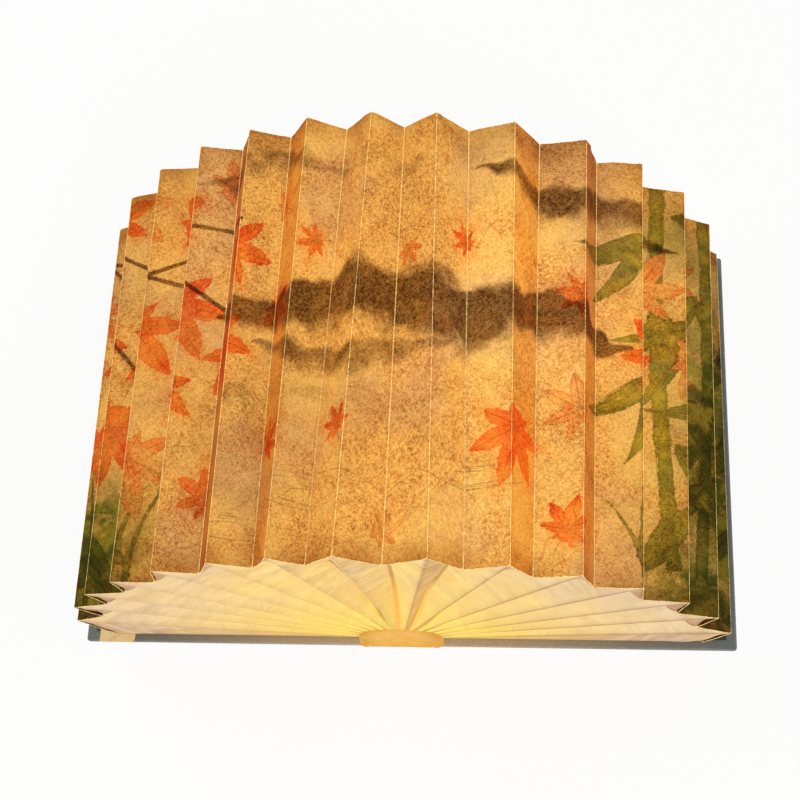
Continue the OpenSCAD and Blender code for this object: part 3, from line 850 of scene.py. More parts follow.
def mix_printed_paper(name):
    material, tree, shader = new_finish(name)
    c = colours()
    place = from_mesh(tree, "canvas", True)
    fibres = use(tree, paper_fibres(), Place=place, Density=1.35)
    fibre, patch = fibres["Fibre"], fibres["Patch"]
    creases = use(tree, crumple_lines(), Place=place, Density=44.0, Width=0.018)

    def tinted(amount, under, tint):
        return mix(tree, amount, under, mix(tree, 1.0, under, tint, "MULTIPLY"))

    body = mix(tree, span(tree, fibre, 0.0, 0.45, soft=False), c.paper_dark, c.paper_mid)
    body = mix(tree, span(tree, fibre, 0.40, 1.0, soft=False), body, c.paper_light)
    body = mix(tree, calc(tree, "MULTIPLY", patch, 0.18), body, c.paper_light)
    body = tinted(calc(tree, "MULTIPLY", fibres["Hair"], 0.36), body, (0.70, 0.54, 0.42))
    clouds = noise(tree, place, 120.0, 4, 0.6, 0.9)
    body = tinted(span(tree, clouds, 0.36, 0.52, 0.42, 0.0), body, (0.76, 0.62, 0.50))
    smudge = noise(tree, turned(tree, place, 35, (1, 0.55, 1)), 24.0, 5, 0.62, 1.1)
    body = tinted(span(tree, smudge, 0.48, 0.66, 0.0, 0.72), body, (0.62, 0.47, 0.38))
    golden = span(tree, noise(tree, place, 21.0, 4, 0.55, 0.8), 0.46, 0.62, 0.0, 0.60)
    body = mix(tree, golden, body, mix(tree, 0.55, body, c.paper_gold))
    body = mix(tree, calc(tree, "MULTIPLY", fibres["Curl"], 0.85), body, c.paper_gold)
    rosy = span(tree, noise(tree, turned(tree, place, 70), 15.0, 3, 0.5), 0.48, 0.64, 0.0, 0.75)
    body = tinted(rosy, body, (0.80, 0.78, 1.20))
    # Painted shade along the page edges and towards the covers.
    body = tinted(span(tree, from_mesh(tree, "painted_shade"), 0.0, 1.0, 0.0, 0.85), body,
                  (0.50, 0.33, 0.22))
    # Darker along the crumple creases: painted shade.
    body = tinted(calc(tree, "MULTIPLY", creases["Line"], 0.50), body, (0.58, 0.42, 0.30))

    blot = noise(tree, place, 95.0, 4, 0.58, 0.7)
    hue = noise(tree, turned(tree, place, 20), 62.0, 4, 0.55, 0.6)
    moss = calc(tree, "MULTIPLY", from_mesh(tree, "moss"), span(tree, blot, 0.34, 0.56, 0.55, 1.0))
    body = tinted(calc(tree, "MULTIPLY", moss, 0.94), body,
                  mix(tree, span(tree, hue, 0.40, 0.60), (0.27, 0.39, 0.13, 1), (0.09, 0.15, 0.06, 1)))
    soaked = calc(tree, "ADD", from_mesh(tree, "wash"),
                  calc(tree, "MULTIPLY", calc(tree, "SUBTRACT", blot, 0.5), 0.9))
    soaked = calc(tree, "MULTIPLY", span(tree, soaked, 0.10, 0.86),
                  calc(tree, "SUBTRACT", span(tree, fibre, 0.0, 1.0, 1.0, 0.90),
                       calc(tree, "MULTIPLY", fibres["Curl"], 0.16)))
    body = tinted(soaked, body, mix(tree, span(tree, hue, 0.4, 0.6), c.wash, (0.26, 0.16, 0.06, 1)))
    for field, ink, deep, turn, bleed, halo in (
            ("olive", c.bamboo, (0.40, 0.38, 0.50, 1), (0.56, 0.66, 0.16, 1), 0.6, 0.45),
            ("pale", c.maple_pale, (0.94, 0.60, 0.40, 1), (1.0, 0.86, 0.72, 1), 0.7, 0.60),
            ("maple", c.maple, (0.80, 0.42, 0.40, 1), (1.0, 0.46, 0.18, 1), 0.7, 0.70)):
        body = use(tree, print_layer(), Under=body, Ink=ink, Deep=deep, Turn=turn,
                   Distance=from_mesh(tree, field), Fibre=fibre, Blot=blot, Hue=hue, Bleed=bleed,
                   Thin=0.90, Halo=halo)["Colour"]
    line = calc(tree, "ABSOLUTE", from_mesh(tree, "line"))
    for field in ("olive", "pale"):
        line = calc(tree, "MINIMUM", line, calc(tree, "ABSOLUTE", from_mesh(tree, field)))
    drawn = calc(tree, "MULTIPLY", span(tree, line, 0.38, 0.10, 0.0, 0.50),
                 span(tree, blot, 0.36, 0.56, 0.35, 1.0))
    body = mix(tree, drawn, body, c.ink)
    # The fold line: partly wear, partly a painted highlight, with painted shade beside it.
    body = use(tree, fold_wear_and_shading(), Under=body, Worn=c.fold_line, Distance=from_mesh(tree, "fold"),
               Fibre=fibre, Width=0.42, Amount=0.92)["Colour"]
    # Along the folds the glow is raised as well: a painted highlight.
    fold_highlight = span(tree, from_mesh(tree, "fold"), 0.46, 0.10)
    # Leaves that face away from the light get a deeper, redder painted shade.
    glow = use(tree, lamp_glow(), Sheet=body, Deep=(0.60, 0.32, 0.20, 1), Half=(0.92, 0.66, 0.38, 1),
               Open=calc(tree, "MAXIMUM", from_mesh(tree, "open"), fold_highlight),
               Level=calc(tree, "MAXIMUM", from_mesh(tree, "glow"),
                          calc(tree, "MULTIPLY", fold_highlight, 1.2)))
    feed(tree, shader.inputs["Base Color"],
         mix(tree, 1.0, glow["Tinted"], (0.34, 0.33, 0.32), "MULTIPLY"))
    feed(tree, shader.inputs["Emission Color"], glow["Colour"])
    shader.inputs["Emission Strength"].default_value = 0.86
    feed(tree, shader.inputs["Roughness"], span(tree, fibre, 0.0, 1.0, 0.90, 0.76))
    height = calc(tree, "ADD", fibres["Height"], calc(tree, "MULTIPLY", creases["Height"], 1.6))
    feed(tree, shader.inputs["Normal"], bump(tree, height, 0.5, 0.0006))
    shader.inputs["Specular IOR Level"].default_value = 0.08
    return material


def mix_cream_paper(name):
    material, tree, shader = new_finish(name)
    c = colours()
    place = from_mesh(tree, "canvas", True)
    fibres = use(tree, paper_fibres(), Place=place, Density=0.75)
    creases = use(tree, crumple_lines(), Place=place, Density=52.0, Width=0.02)
    reach = from_mesh(tree, "reach")
    # Painted lamp light: the cream is yellower at the root beside the lamp and greyer towards the outer
    # ends, most on the low pages near the covers.
    body = mix(tree, span(tree, reach, 0.02, 0.40), c.web_root, c.web)
    # Painted shade in each valley, beside the crest in front of it.
    nook = calc(tree, "MULTIPLY", span(tree, from_mesh(tree, "nook"), 1.15, 0.2, 0.0, 0.62),
                span(tree, reach, 0.02, 0.16))
    outer = calc(tree, "MULTIPLY", span(tree, reach, 0.15, 0.95, 0.0, 0.85),
                 from_mesh(tree, "pale"))
    body = mix(tree, outer, body, c.web_end)
    body = mix(tree, calc(tree, "MULTIPLY", fibres["Patch"], 0.12), body,
               mix(tree, 1.0, body, (0.98, 0.88, 0.66), "MULTIPLY"))
    # Random lighter and darker crumple facets, and darker crease lines: painted shading of the crumpled
    # paper.
    body = mix(tree, calc(tree, "MULTIPLY", creases["Facet"], 0.44), body,
               mix(tree, 1.0, body, (0.86, 0.80, 0.72), "MULTIPLY"))
    body = mix(tree, span(tree, fibres["Fibre"], 0.0, 0.8, 0.13, 0.0), body, (0.62, 0.40, 0.16))
    body = mix(tree, calc(tree, "MULTIPLY", creases["Line"], 0.30), body, (0.66, 0.44, 0.20))
    body = mix(tree, from_mesh(tree, "amber"), body, (0.98, 0.58, 0.12, 1))
    clear = calc(tree, "SUBTRACT", 1.0, from_mesh(tree, "amber"))
    # The painted valley shade, kept off the amber tongues.
    body = mix(tree, calc(tree, "MULTIPLY", nook, clear), body,
               mix(tree, 1.0, body, (0.42, 0.28, 0.15), "MULTIPLY"))
    # A dark line along each fold and edge of the cream paper: painted shade.
    body = use(tree, fold_wear_and_shading(), Under=body, Worn=(0.42, 0.24, 0.085, 1),
               Distance=from_mesh(tree, "fold"), Fibre=fibres["Fibre"], Width=0.40,
               Amount=0.62)["Colour"]
    # Web facets that face away from the light get a deeper, greyer painted shade.
    glow = use(tree, lamp_glow(), Sheet=body, Deep=(0.70, 0.56, 0.58, 1), Half=(0.88, 0.80, 0.78, 1),
               Open=from_mesh(tree, "open"), Level=from_mesh(tree, "glow"))
    feed(tree, shader.inputs["Base Color"],
         mix(tree, 1.0, glow["Tinted"], (0.38, 0.36, 0.34), "MULTIPLY"))
    feed(tree, shader.inputs["Emission Color"], glow["Colour"])
    shader.inputs["Emission Strength"].default_value = 0.75
    shader.inputs["Specular IOR Level"].default_value = 0.3
    feed(tree, shader.inputs["Roughness"], span(tree, fibres["Fibre"], 0.0, 1.0, 0.82, 0.66))
    height = calc(tree, "ADD", calc(tree, "MULTIPLY", fibres["Height"], 0.12),
                  calc(tree, "MULTIPLY", creases["Height"], 2.2))
    feed(tree, shader.inputs["Normal"], bump(tree, height, 0.2, 0.0006))
    return material


def mix_amber_film(name):
    material, tree, shader = new_finish(name)
    c = colours()
    place = from_object(tree)
    marks = use(tree, wear_and_dust(), Place=place, Density=3.0)
    streaks = noise(tree, turned(tree, place, 0, (1, 0.15, 1)), 160.0, 3, 0.5)
    body = mix(tree, span(tree, streaks, 0.35, 0.7, 0.0, 0.20), c.film,
               mix(tree, 1.0, c.film, (0.86, 0.72, 0.5), "MULTIPLY"))
    body = mix(tree, calc(tree, "MULTIPLY", marks["Patch"], 0.25), body, (1.0, 0.60, 0.17))
    # Painted shade: the film is darker and greyer towards the sides of the tunnel.
    off_middle = calc(tree, "ABSOLUTE", axes(tree, place)[0])
    body = mix(tree, span(tree, off_middle, 0.008, 0.021, 0.0, 0.5), body,
               mix(tree, 1.0, body, (0.70, 0.62, 0.72), "MULTIPLY"))
    body = mix(tree, from_mesh(tree, "shine"), body, (1.0, 0.80, 0.42))
    feed(tree, shader.inputs["Base Color"], mix(tree, 1.0, body, (0.07, 0.06, 0.05), "MULTIPLY"))
    feed(tree, shader.inputs["Emission Color"], body)
    shader.inputs["Emission Strength"].default_value = 0.90
    shader.inputs["Specular IOR Level"].default_value = 0.05
    feed(tree, shader.inputs["Roughness"], span(tree, streaks, 0.3, 0.7, 0.36, 0.50))
    feed(tree, shader.inputs["Coat Weight"], span(tree, marks["Dust"], 0.0, 1.0, 0.05, 0.01))
    feed(tree, shader.inputs["Normal"], bump(tree, streaks, 0.25, 0.0004))
    return material


def mix_leatherette(name):
    material, tree, shader = new_finish(name)
    c = colours()
    place = from_object(tree)
    grain = use(tree, leather_grain(), Place=place, Density=1250.0)
    marks = use(tree, wear_and_dust(), Place=place, Density=1.0)
    x, y, z = axes(tree, place)[:3]
    end = calc(tree, "SUBTRACT", COVER_END * MM, calc(tree, "ABSOLUTE", y))
    side = calc(tree, "SUBTRACT", COVER_OUT * MM, calc(tree, "ABSOLUTE", x))
    edge = calc(tree, "MINIMUM", end, side)
    wobble = calc(tree, "MULTIPLY", noise(tree, place, 180.0, 4, 0.7), 0.0022)
    worn = span(tree, calc(tree, "ADD", edge, wobble), 0.0021, 0.0009)
    body = mix(tree, span(tree, grain["Tone"], 0.0, 1.0, 0.0, 0.35), c.leather,
               mix(tree, 1.0, c.leather, (1.55, 1.55, 1.52), "MULTIPLY"))
    body = mix(tree, calc(tree, "MULTIPLY", marks["Patch"], 0.28), body,
               mix(tree, 1.0, body, (0.78, 0.80, 0.84), "MULTIPLY"))
    body = mix(tree, calc(tree, "MULTIPLY", worn, 0.38), body, (0.33, 0.33, 0.30))
    body = mix(tree, calc(tree, "MULTIPLY", marks["Dust"], 0.3), body, (0.42, 0.41, 0.38))
    feed(tree, shader.inputs["Base Color"], body)
    # Painted light: a warm glow of the lamp on the front rim near the film.
    painted_lamp_light = span(tree, calc(tree, "ABSOLUTE", x), 0.155, 0.015)
    painted_lamp_light = calc(tree, "MULTIPLY", painted_lamp_light, span(tree, end, 0.010, 0.001))
    painted_lamp_light = calc(tree, "MULTIPLY", painted_lamp_light, span(tree, z, 0.0001, 0.0007))
    feed(tree, shader.inputs["Emission Color"],
         mix(tree, calc(tree, "MULTIPLY", painted_lamp_light, span(tree, grain["Tone"], 0.0, 1.0, 0.75, 1.0)),
             (0.0, 0.0, 0.0), (1.0, 0.52, 0.18)))
    shader.inputs["Emission Strength"].default_value = 0.33
    feed(tree, shader.inputs["Roughness"],
         calc(tree, "SUBTRACT", span(tree, grain["Tone"], 0.0, 1.0, 0.62, 0.44),
              calc(tree, "MULTIPLY", worn, 0.10)))
    feed(tree, shader.inputs["Normal"], bump(tree, grain["Height"], 0.42, 0.0003))
    return material


def mix_black_paper(name):
    material, tree, shader = new_finish(name)
    c = colours()
    place = from_object(tree)
    fibres = use(tree, paper_fibres(), Place=place, Density=1.6)
    marks = use(tree, wear_and_dust(), Place=place, Density=1.3)
    body = mix(tree, span(tree, fibres["Fibre"], 0.2, 1.0, 0.0, 0.5), c.endpaper,
               mix(tree, 1.0, c.endpaper, (2.2, 1.8, 1.7), "MULTIPLY"))
    body = mix(tree, calc(tree, "MULTIPLY", marks["Dust"], 0.35), body, (0.16, 0.14, 0.12))
    feed(tree, shader.inputs["Base Color"], body)
    feed(tree, shader.inputs["Roughness"], span(tree, marks["Patch"], 0.0, 1.0, 0.46, 0.6))
    feed(tree, shader.inputs["Normal"], bump(tree, fibres["Height"], 0.3, 0.0003))
    return material


def plain_finish(name, base, shade, rough, grain, lift=0.0, metal=0.0):
    """A moulded, coated or pressed surface: base and shade mix in patches, with a fine grain."""
    material, tree, shader = new_finish(name)
    place = from_object(tree)
    marks = use(tree, wear_and_dust(), Place=place, Density=4.0)
    fine = noise(tree, place, grain, 4, 0.6)
    body = mix(tree, span(tree, fine, 0.3, 0.7, 0.0, 0.5), base, shade)
    body = mix(tree, calc(tree, "MULTIPLY", marks["Patch"], 0.35), body, shade)
    feed(tree, shader.inputs["Base Color"], body)
    feed(tree, shader.inputs["Roughness"], span(tree, fine, 0.3, 0.7, rough, rough + 0.12))
    feed(tree, shader.inputs["Normal"], bump(tree, fine, 0.2, 0.0002))
    shader.inputs["Metallic"].default_value = metal
    if lift:
        feed(tree, shader.inputs["Emission Color"], body)
        shader.inputs["Emission Strength"].default_value = lift
    return material


def mix_circuit_board(name, mask_colour, track_colour, rough):
    """Lacquered board with tracks and solder pads."""
    material, tree, shader = new_finish(name)
    place = from_object(tree)
    x, y = axes(tree, place)[:2]
    lane = calc(tree, "PINGPONG", x, 0.0009)
    sway = calc(tree, "MULTIPLY", noise(tree, place, 120.0, 1), 0.0006)
    tracks = span(tree, calc(tree, "ADD", lane, sway), 0.00062, 0.00052)
    pads = span(tree, cells(tree, place, 260.0), 0.16, 0.12)
    body = mix(tree, calc(tree, "MULTIPLY", tracks, 0.55), mask_colour, track_colour)
    body = mix(tree, pads, body, (0.78, 0.75, 0.68))
    body = mix(tree, span(tree, noise(tree, place, 900.0, 3), 0.4, 0.7, 0.0, 0.2), body,
               (0.02, 0.03, 0.02))
    feed(tree, shader.inputs["Base Color"], body)
    feed(tree, shader.inputs["Metallic"], calc(tree, "MULTIPLY", pads, 0.8))
    feed(tree, shader.inputs["Roughness"], span(tree, pads, 0.0, 1.0, rough, 0.28))
    feed(tree, shader.inputs["Normal"], bump(tree, calc(tree, "ADD", tracks, pads), 0.3, 0.0002))
    return material


FINISHES = {
    "printed_paper": mix_printed_paper,
    "cream_paper": mix_cream_paper,
    "amber_film": mix_amber_film,
    "leatherette": mix_leatherette,
    "black_paper": mix_black_paper,
    "grey_board": lambda name: plain_finish(
        name, (0.36, 0.33, 0.29), (0.24, 0.22, 0.19), 0.82, 1500.0),
    "white_tape": lambda name: plain_finish(
        name, (0.78, 0.76, 0.70), (0.62, 0.60, 0.55), 0.6, 900.0),
    "white_plastic": lambda name: plain_finish(
        name, (0.80, 0.79, 0.75), (0.70, 0.69, 0.64), 0.36, 1800.0),
    "milky_plastic": lambda name: plain_finish(
        name, (0.96, 0.86, 0.62), (0.92, 0.78, 0.50), 0.42, 1200.0, lift=0.9),
    "light_board": lambda name: mix_circuit_board(
        name, (0.78, 0.77, 0.72), (0.66, 0.60, 0.45), 0.34),
    "lamp_phosphor": lambda name: plain_finish(
        name, (0.95, 0.70, 0.18), (0.80, 0.50, 0.10), 0.35, 4000.0, lift=1.0),
    "battery_foil": lambda name: plain_finish(
        name, (0.62, 0.62, 0.64), (0.46, 0.46, 0.49), 0.30, 700.0, metal=0.7),
    "circuit_board": lambda name: mix_circuit_board(
        name, (0.02, 0.13, 0.05), (0.04, 0.22, 0.08), 0.38),
    "bright_metal": lambda name: plain_finish(
        name, (0.74, 0.73, 0.71), (0.58, 0.57, 0.55), 0.24, 2600.0, metal=1.0),
    "sensor_black": lambda name: plain_finish(
        name, (0.02, 0.02, 0.022), (0.04, 0.04, 0.042), 0.4, 3000.0),
    "lead_cover": lambda name: plain_finish(
        name, (0.42, 0.03, 0.02), (0.30, 0.02, 0.015), 0.45, 1500.0),
}


def finish_named(name):
    """A finish, mixed the first time it is asked for."""
    own_name = f"{name}_finish"
    return bpy.data.materials.get(own_name) or FINISHES[name](own_name)


# ---------------------------------------------------------------- pages


def lamp_level(x, y, angle):
    """How strongly the lamp lights the shell: most over the middle and near the front."""
    middle = 0.27 * np.exp(-((angle - 118) / 28) ** 2 - ((y - 18) / 52) ** 2)
    middle = middle - 0.13 * np.exp(-((angle - 74) / 20) ** 2 - ((y + 50) / 50) ** 2)
    near_front = 0.09 * ease(-y, 10, 100) * np.exp(-((angle - 112) / 45) ** 2)
    sides = 0.20 * (1 - np.sin(np.radians(angle)))
    far = 0.06 * ease(y, 30, 104)
    right = 0.26 * ease(angle, 146, 172)
    return 0.90 + middle + near_front - sides - far - right


def leaf_openness(page, side):
    """How far a leaf faces a fixed direction above and before the book: such leaves glow paler, the others
    get a deeper painted shade.
    """
    heading = radians(page_angle(page) + side * 43.2)
    facing = 0.94 * sin(heading) - 0.13 * cos(heading)
    return float(ease(np.array(facing), 0.02, 0.88))


def make_printed_page(page):
    s = sizes()
    cell = s.cell / MM
    across = 2 * round(LEAF_W / cell)
    along = round(2 * PAPER_END / cell)
    piece = flat_grid(f"printed_page_{page:02d}", across, along)
    unit = corners_of(piece)
    side = np.clip(unit[:, 0] * 2, -1, 1)
    y = unit[:, 1] * 2 * PAPER_END
    t = unit[:, 1] + 0.5
    x, z = across_leaves(page, side, t)
    angle = page_angle(page)
    from_fold = np.minimum(np.abs(side), 1 - np.abs(side)) * LEAF_W
    from_end = PAPER_END - np.abs(y)
    u = (page - 1) * 2 * LEAF_W + (side + 1) * LEAF_W
    loose = ease(from_fold, 0.0, 6.0)
    height = s.skin_crumple / MM * (0.55 * dents(u, y, 34, 3 + page) + 0.5 * wrinkle(u, y, 60, 70 + page))
    height = height * loose * (1 + 0.8 * ease(-from_end, -26, 0))
    turn = np.radians(angle + np.where(side < 0, -1, 1) * 43.2)
    x = x - height * np.cos(turn)
    z = z + height * np.sin(turn)
    lay_out(piece, x, y, z)
    art = draw_print(u, y)
    store_vector(piece, "canvas", u * MM, y * MM, np.full(u.shape, page * 0.001))
    for name, field in art.fills.items():
        store(piece, name, field)
    store(piece, "line", art.line)
    store(piece, "wash", art.wash)
    store(piece, "moss", art.moss)
    store(piece, "fold", np.minimum(from_fold, from_end * 1.4))
    # Painted light and shade: each leaf glows paler or deeper by how far it faces above and before the
    # book, with a random shift.
    random = np.random.default_rng(500 + page)
    shift = random.uniform(-0.11, 0.11, 2)
    open_left = leaf_openness(page, -1) + shift[0]
    open_right = leaf_openness(page, 1) + shift[1]
    store(piece, "open", np.where(side < 0, open_left, open_right))
    store(piece, "glow", lamp_level(x, y, angle + side * HALF_STEP))
    # Painted shade: darker along the back and front edges of the page, towards the covers, and over the
    # front half of the pages near 60 degrees.
    painted_shade = 0.80 * ease(y, 80, 105) + 0.75 * ease(-y, 86, 105) + 0.35 * ease(np.abs(angle - 90), 58, 90)
    painted_shade = painted_shade + 0.42 * np.exp(-((angle - 60) / 30) ** 2) * ease(-y, -30, 30)
    painted_shade = painted_shade * (0.70 + 0.30 * wrinkle(u, y, 38, 33))
    store(piece, "painted_shade", np.clip(painted_shade, 0, 1))
    thicken(piece, s.skin_thickness)
    smooth(piece)
    dress(piece, "printed_paper", page_body(page), f"page_skin_{page:02d}")
    flatten_with_page(piece)


def make_web(page, end):
    """The folded web at one end of a page: a crest along the page, valleys on both sides."""
    s = sizes()
    across, along = 28, 96
    piece = flat_grid(f"web_{page}_{end}", across, along)
    unit = corners_of(piece)
    side = np.clip(unit[:, 0] * 2, -1, 1)
    out = unit[:, 1] + 0.5
    t = 0.0 if end < 0 else 1.0
    angle = page_angle(page)
    root_angle = angle + side * (HALF_STEP - 0.35)
    root = arch_radius(root_angle) + 0.15
    x0, z0 = around(root, root_angle)
    x1, z1 = across_leaves(page, side, t, 0.75)
    x = x0 + (x1 - x0) * out
    z = z0 + (z1 - z0) * out
    valley = 0.1 + 10.6 * ease(out, 0.0, 0.42) - 9.5 * ease(out, 0.88, 1.0) ** 1.2
    on_cover = ((page == 1) & (side < 0)) | ((page == PAGES) & (side > 0))
    valley = np.where(on_cover, 0.3, valley)
    z = z - np.where(on_cover, np.abs(side) * 0.9, 0)
    sink = np.abs(side) * valley + 0.12
    radial = out * 140
    sideways = side * (2 + 13 * out)
    free = ease(1 - np.abs(side), 0.0, 0.35) * ease(np.abs(side), 0.0, 0.3)
    seed = 200 + page * 2 + (end > 0)
    dent = dents(radial, sideways, 26, seed)
    crumple = s.web_crumple / MM * free * ease(out, 0.15, 0.9) * (0.8 * dent + 0.3)
    lip = 0.6 * ease(out, 0.86, 1.0) * wrinkle(sideways, radial, 18, 300 + page + (end > 0))
    depth = sink + crumple + lip * np.abs(side)
    y = end * (PAPER_END - np.where(on_cover, depth, np.maximum(depth, 0.05)))
    lay_out(piece, x, y, z)
    store_vector(piece, "canvas", sideways * MM, radial * MM,
                 np.full(x.shape, (page * 2 + (end > 0)) * 0.013))
    from_crest = np.abs(side) * (2 + 14 * out)
    from_rim = (1 - out) * 140
    store(piece, "fold", np.minimum(from_crest, from_rim))
    # Distance from the valley, for the painted valley shade.
    store(piece, "nook", (1 - np.abs(side)) * (2 + 14 * out))
    store(piece, "reach", out)
    # Painted shading: each facet glows paler or deeper by the side of the crest it lies on and the page's
    # angle, and the slope of the dents adds painted light and shade.
    random = np.random.default_rng(900 + page + 40 * (end > 0))
    left, right = random.uniform(-0.10, 0.10, 2)
    upward = cos(radians(angle))
    facing = np.where(side < 0, left - upward, right + upward)
    slope = dents(radial + 0.8, sideways + 0.8, 26, seed) - dent
    shade = np.clip(slope * 2.2, -0.5, 0.5) * ease(out, 0.25, 0.9)
    facet = ease(facing, -0.35, 0.35)
    facet = np.where(on_cover, 0.35, facet)
    store(piece, "open", np.clip(0.12 + 0.88 * facet + 0.5 * shade, 0, 1))
    # How far the outer ends grey, for the painted fall-off of the lamp's light: most on the low pages near
    # the covers.
    low = 0.35 + 0.65 * ease(abs(upward), 0.3, 0.95)
    store(piece, "pale", np.clip(low + 0.25 * wrinkle(radial, sideways, 40, seed + 9), 0, 1))
    valley_angle = angle + side * HALF_STEP
    spread = 2.8 * (1 - out / 0.56) - (1 - np.abs(side)) * (2 + 14 * out)
    tongue = ease(spread, 0.0, 0.7) * ease(11.0 - np.abs(valley_angle - 102), 0, 3)
    store(piece, "amber", tongue * 0.9)
    # The glow level carries the same painted facet shading.
    store(piece, "glow", 0.92 + 0.14 * facet - 0.08 * out + 0.10 * shade)
    if end > 0:
        pick(piece)
        bpy.ops.object.mode_set(mode="EDIT")
        bpy.ops.mesh.select_all(action="SELECT")
        bpy.ops.mesh.flip_normals()
        bpy.ops.object.mode_set(mode="OBJECT")
    thicken(piece, s.web_thickness)
    smooth(piece, 20)
    return piece


def make_end_webs(page):
    pieces = [make_web(page, end) for end in (-1, 1)]
    piece = join(pieces)
    piece.name = piece.data.name = f"end_webs_{page:02d}"
    dress(piece, "cream_paper", page_body(page), f"page_webs_{page:02d}")
    flatten_with_page(piece)


# ---------------------------------------------------------------- film tunnel


FILM_CREST = PAPER_END + 1.0
FILM_LIP = 3.0
FRONT_LEAN = (COVER_END - FILM_CREST - 0.3) / (TUNNEL_TOP - COVER_TOP)


def film_front(z):
    """Where the leaning front end of the film stands at a height."""
    return -FILM_CREST - (TUNNEL_TOP - z) * FRONT_LEAN


def make_tunnel_half(side):
    s = sizes()
    name = "left" if side < 0 else "right"
    piece = flat_grid(f"film_tunnel_{name}", 44, 130)
    unit = corners_of(piece)
    up = unit[:, 0] + 0.5
    way = 0.5 - unit[:, 1]
    foot_share = 0.05
    shoulder_share, face_share = 0.80, 0.86
    angle = 90 * ease(up, foot_share, 1.0) * 0.5 + 45 * np.clip(
        (up - foot_share) / (1 - foot_share), 0, 1)
    round_in = ease(way, shoulder_share, face_share)
    shoulder = 0.9
    inset = shoulder * (1 - np.cos(round_in * pi / 2))
    radius = arch_radius(angle, inset)
    x = radius * np.cos(np.radians(angle))
    z = AXIS_Z + radius * np.sin(np.radians(angle))
    z = z + FILM_LIP * ease(way, 0.74, 0.80) * np.sin(np.radians(angle)) ** 1.5
    foot = 1 - np.clip(up / foot_share, 0, 1)
    z = z - foot * (AXIS_Z - ENDPAPER_TOP - 0.3)
    start = PAPER_END - 0.4
    stop = film_front(z) + shoulder
    y = start + (stop - start) * np.clip(way / shoulder_share, 0, 1)
    y = y - shoulder * np.sin(round_in * pi / 2)
    down = np.clip((way - face_share) / (1 - face_share), 0, 1)
    bottom = 11.6 - 8.4 * x / TUNNEL_SIDE
    z_face = z + (np.minimum(bottom, z) - z) * down
    y = np.where(way > face_share, film_front(z_face), y)
    z = z_face
    x = np.maximum(x, 0.0) + 0.08
    along = np.clip(way / shoulder_share, 0, 1) * 200
    ripple = 0.22 * wrinkle(along, up * 40, 46, 41 + (side > 0)) * np.sin(pi * np.clip(up, 0, 1))
    z = z + ripple * (way < shoulder_share) * np.sin(pi * np.clip(way / shoulder_share, 0, 1))
    lay_out(piece, side * x, y, z)
    store(piece, "shine", np.zeros(x.shape))
    edit(piece, "VERT")
    bpy.ops.mesh.select_all(action="SELECT")
    bpy.ops.mesh.remove_doubles(threshold=0.00004)
    bpy.ops.mesh.normals_make_consistent(inside=False)
    leave_edit()
    face_out(piece, Vector((side, 0, 1)))
    thicken(piece, s.film_thickness)
    smooth(piece, 40)
    dress(piece, "amber_film", "light_tunnel", f"light_tunnel_{name}")
    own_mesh(piece)


def face_out(piece, heading):
    """Turns an open sheet's faces towards a heading, if most of them look away from it."""
    total = sum((p.normal.dot(heading) * p.area for p in piece.data.polygons), 0.0)
    if total < 0:
        edit(piece)
        bpy.ops.mesh.select_all(action="SELECT")
        bpy.ops.mesh.flip_normals()
        leave_edit()


def make_film_hem(side):
    """The film's hem at the front: it stands before the tunnel and lies out on the rim."""
    s = sizes()
    name = "left" if side < 0 else "right"
    piece = flat_grid(f"film_hem_{name}", 46, 26)
    unit = corners_of(piece)
    down = 0.5 - unit[:, 1]
    x = (unit[:, 0] + 0.5) * (TUNNEL_SIDE + 0.3 - 2.2 * ease(down, 0.2, 0.8))
    top = np.maximum(12.8 - 8.9 * x / TUNNEL_SIDE, COVER_TOP + 0.5)
    low = COVER_TOP + 0.12
    stand = np.clip(down / 0.72, 0, 1)
    z = top + (low - top) * stand
    y = film_front(z) - 0.32
    lie = np.clip((down - 0.72) / 0.28, 0, 1)
    y = y - 0.5 * ease(stand, 0.5, 1.0) - 0.35 * lie
    outer = unit[:, 0] + 0.5
    curl = ease(outer, 0.80, 1.0) * ease(down, 0.3, 1.0)
    z = z + 1.5 * curl ** 2
    y = y - 0.25 * curl
    z = z + 0.12 * wrinkle(x, down * 8, 9, 61 + (side > 0)) * ease(x, 2, 10)
    y = np.maximum(y, -COVER_END - 0.9)
    lay_out(piece, side * (x + 0.02), y, z)
    curled = np.exp(-((outer - 0.90 + 0.10 * down) / 0.018) ** 2)
    store(piece, "shine", 0.85 * curled * ease(down, 0.35, 0.6))
    face_out(piece, Vector((0, -1, 0.3)))
    thicken(piece, s.film_thickness * 0.75)
    smooth(piece, 40)
    dress(piece, "amber_film", None, f"light_tunnel_{name}")
    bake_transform(piece)


# ---------------------------------------------------------------- covers, spine and margins


def solid_block(name, low, high):
    lone()
    centre = [(a + b) / 2 * MM for a, b in zip(low, high)]
    spread = [(b - a) * MM for a, b in zip(low, high)]
    bpy.ops.mesh.primitive_cube_add(size=1.0, location=centre, scale=spread)
    piece = name_piece(name)
    bpy.ops.object.transform_apply(location=True, rotation=True, scale=True)
    return piece


def open_top(piece, rim, shift_ends=0.0):
    """Insets the top face and removes what lies inside the rim."""
    mesh = edit(piece)
    top = max(face.calc_center_median().z for face in mesh.faces)
    for face in mesh.faces:
        face.select_set(face.calc_center_median().z > top - 1e-6)
    show_selection(piece)
    bpy.ops.mesh.inset(thickness=rim, depth=0)
    if shift_ends:
        mesh = bmesh.from_edit_mesh(piece.data)
        inner = [v for v in mesh.verts if v.select]
        for v in inner:
            v.co.y -= shift_ends * (1 if v.co.y > 0 else -1)
        show_selection(piece)
    bpy.ops.mesh.delete(type="FACE")
    leave_edit()


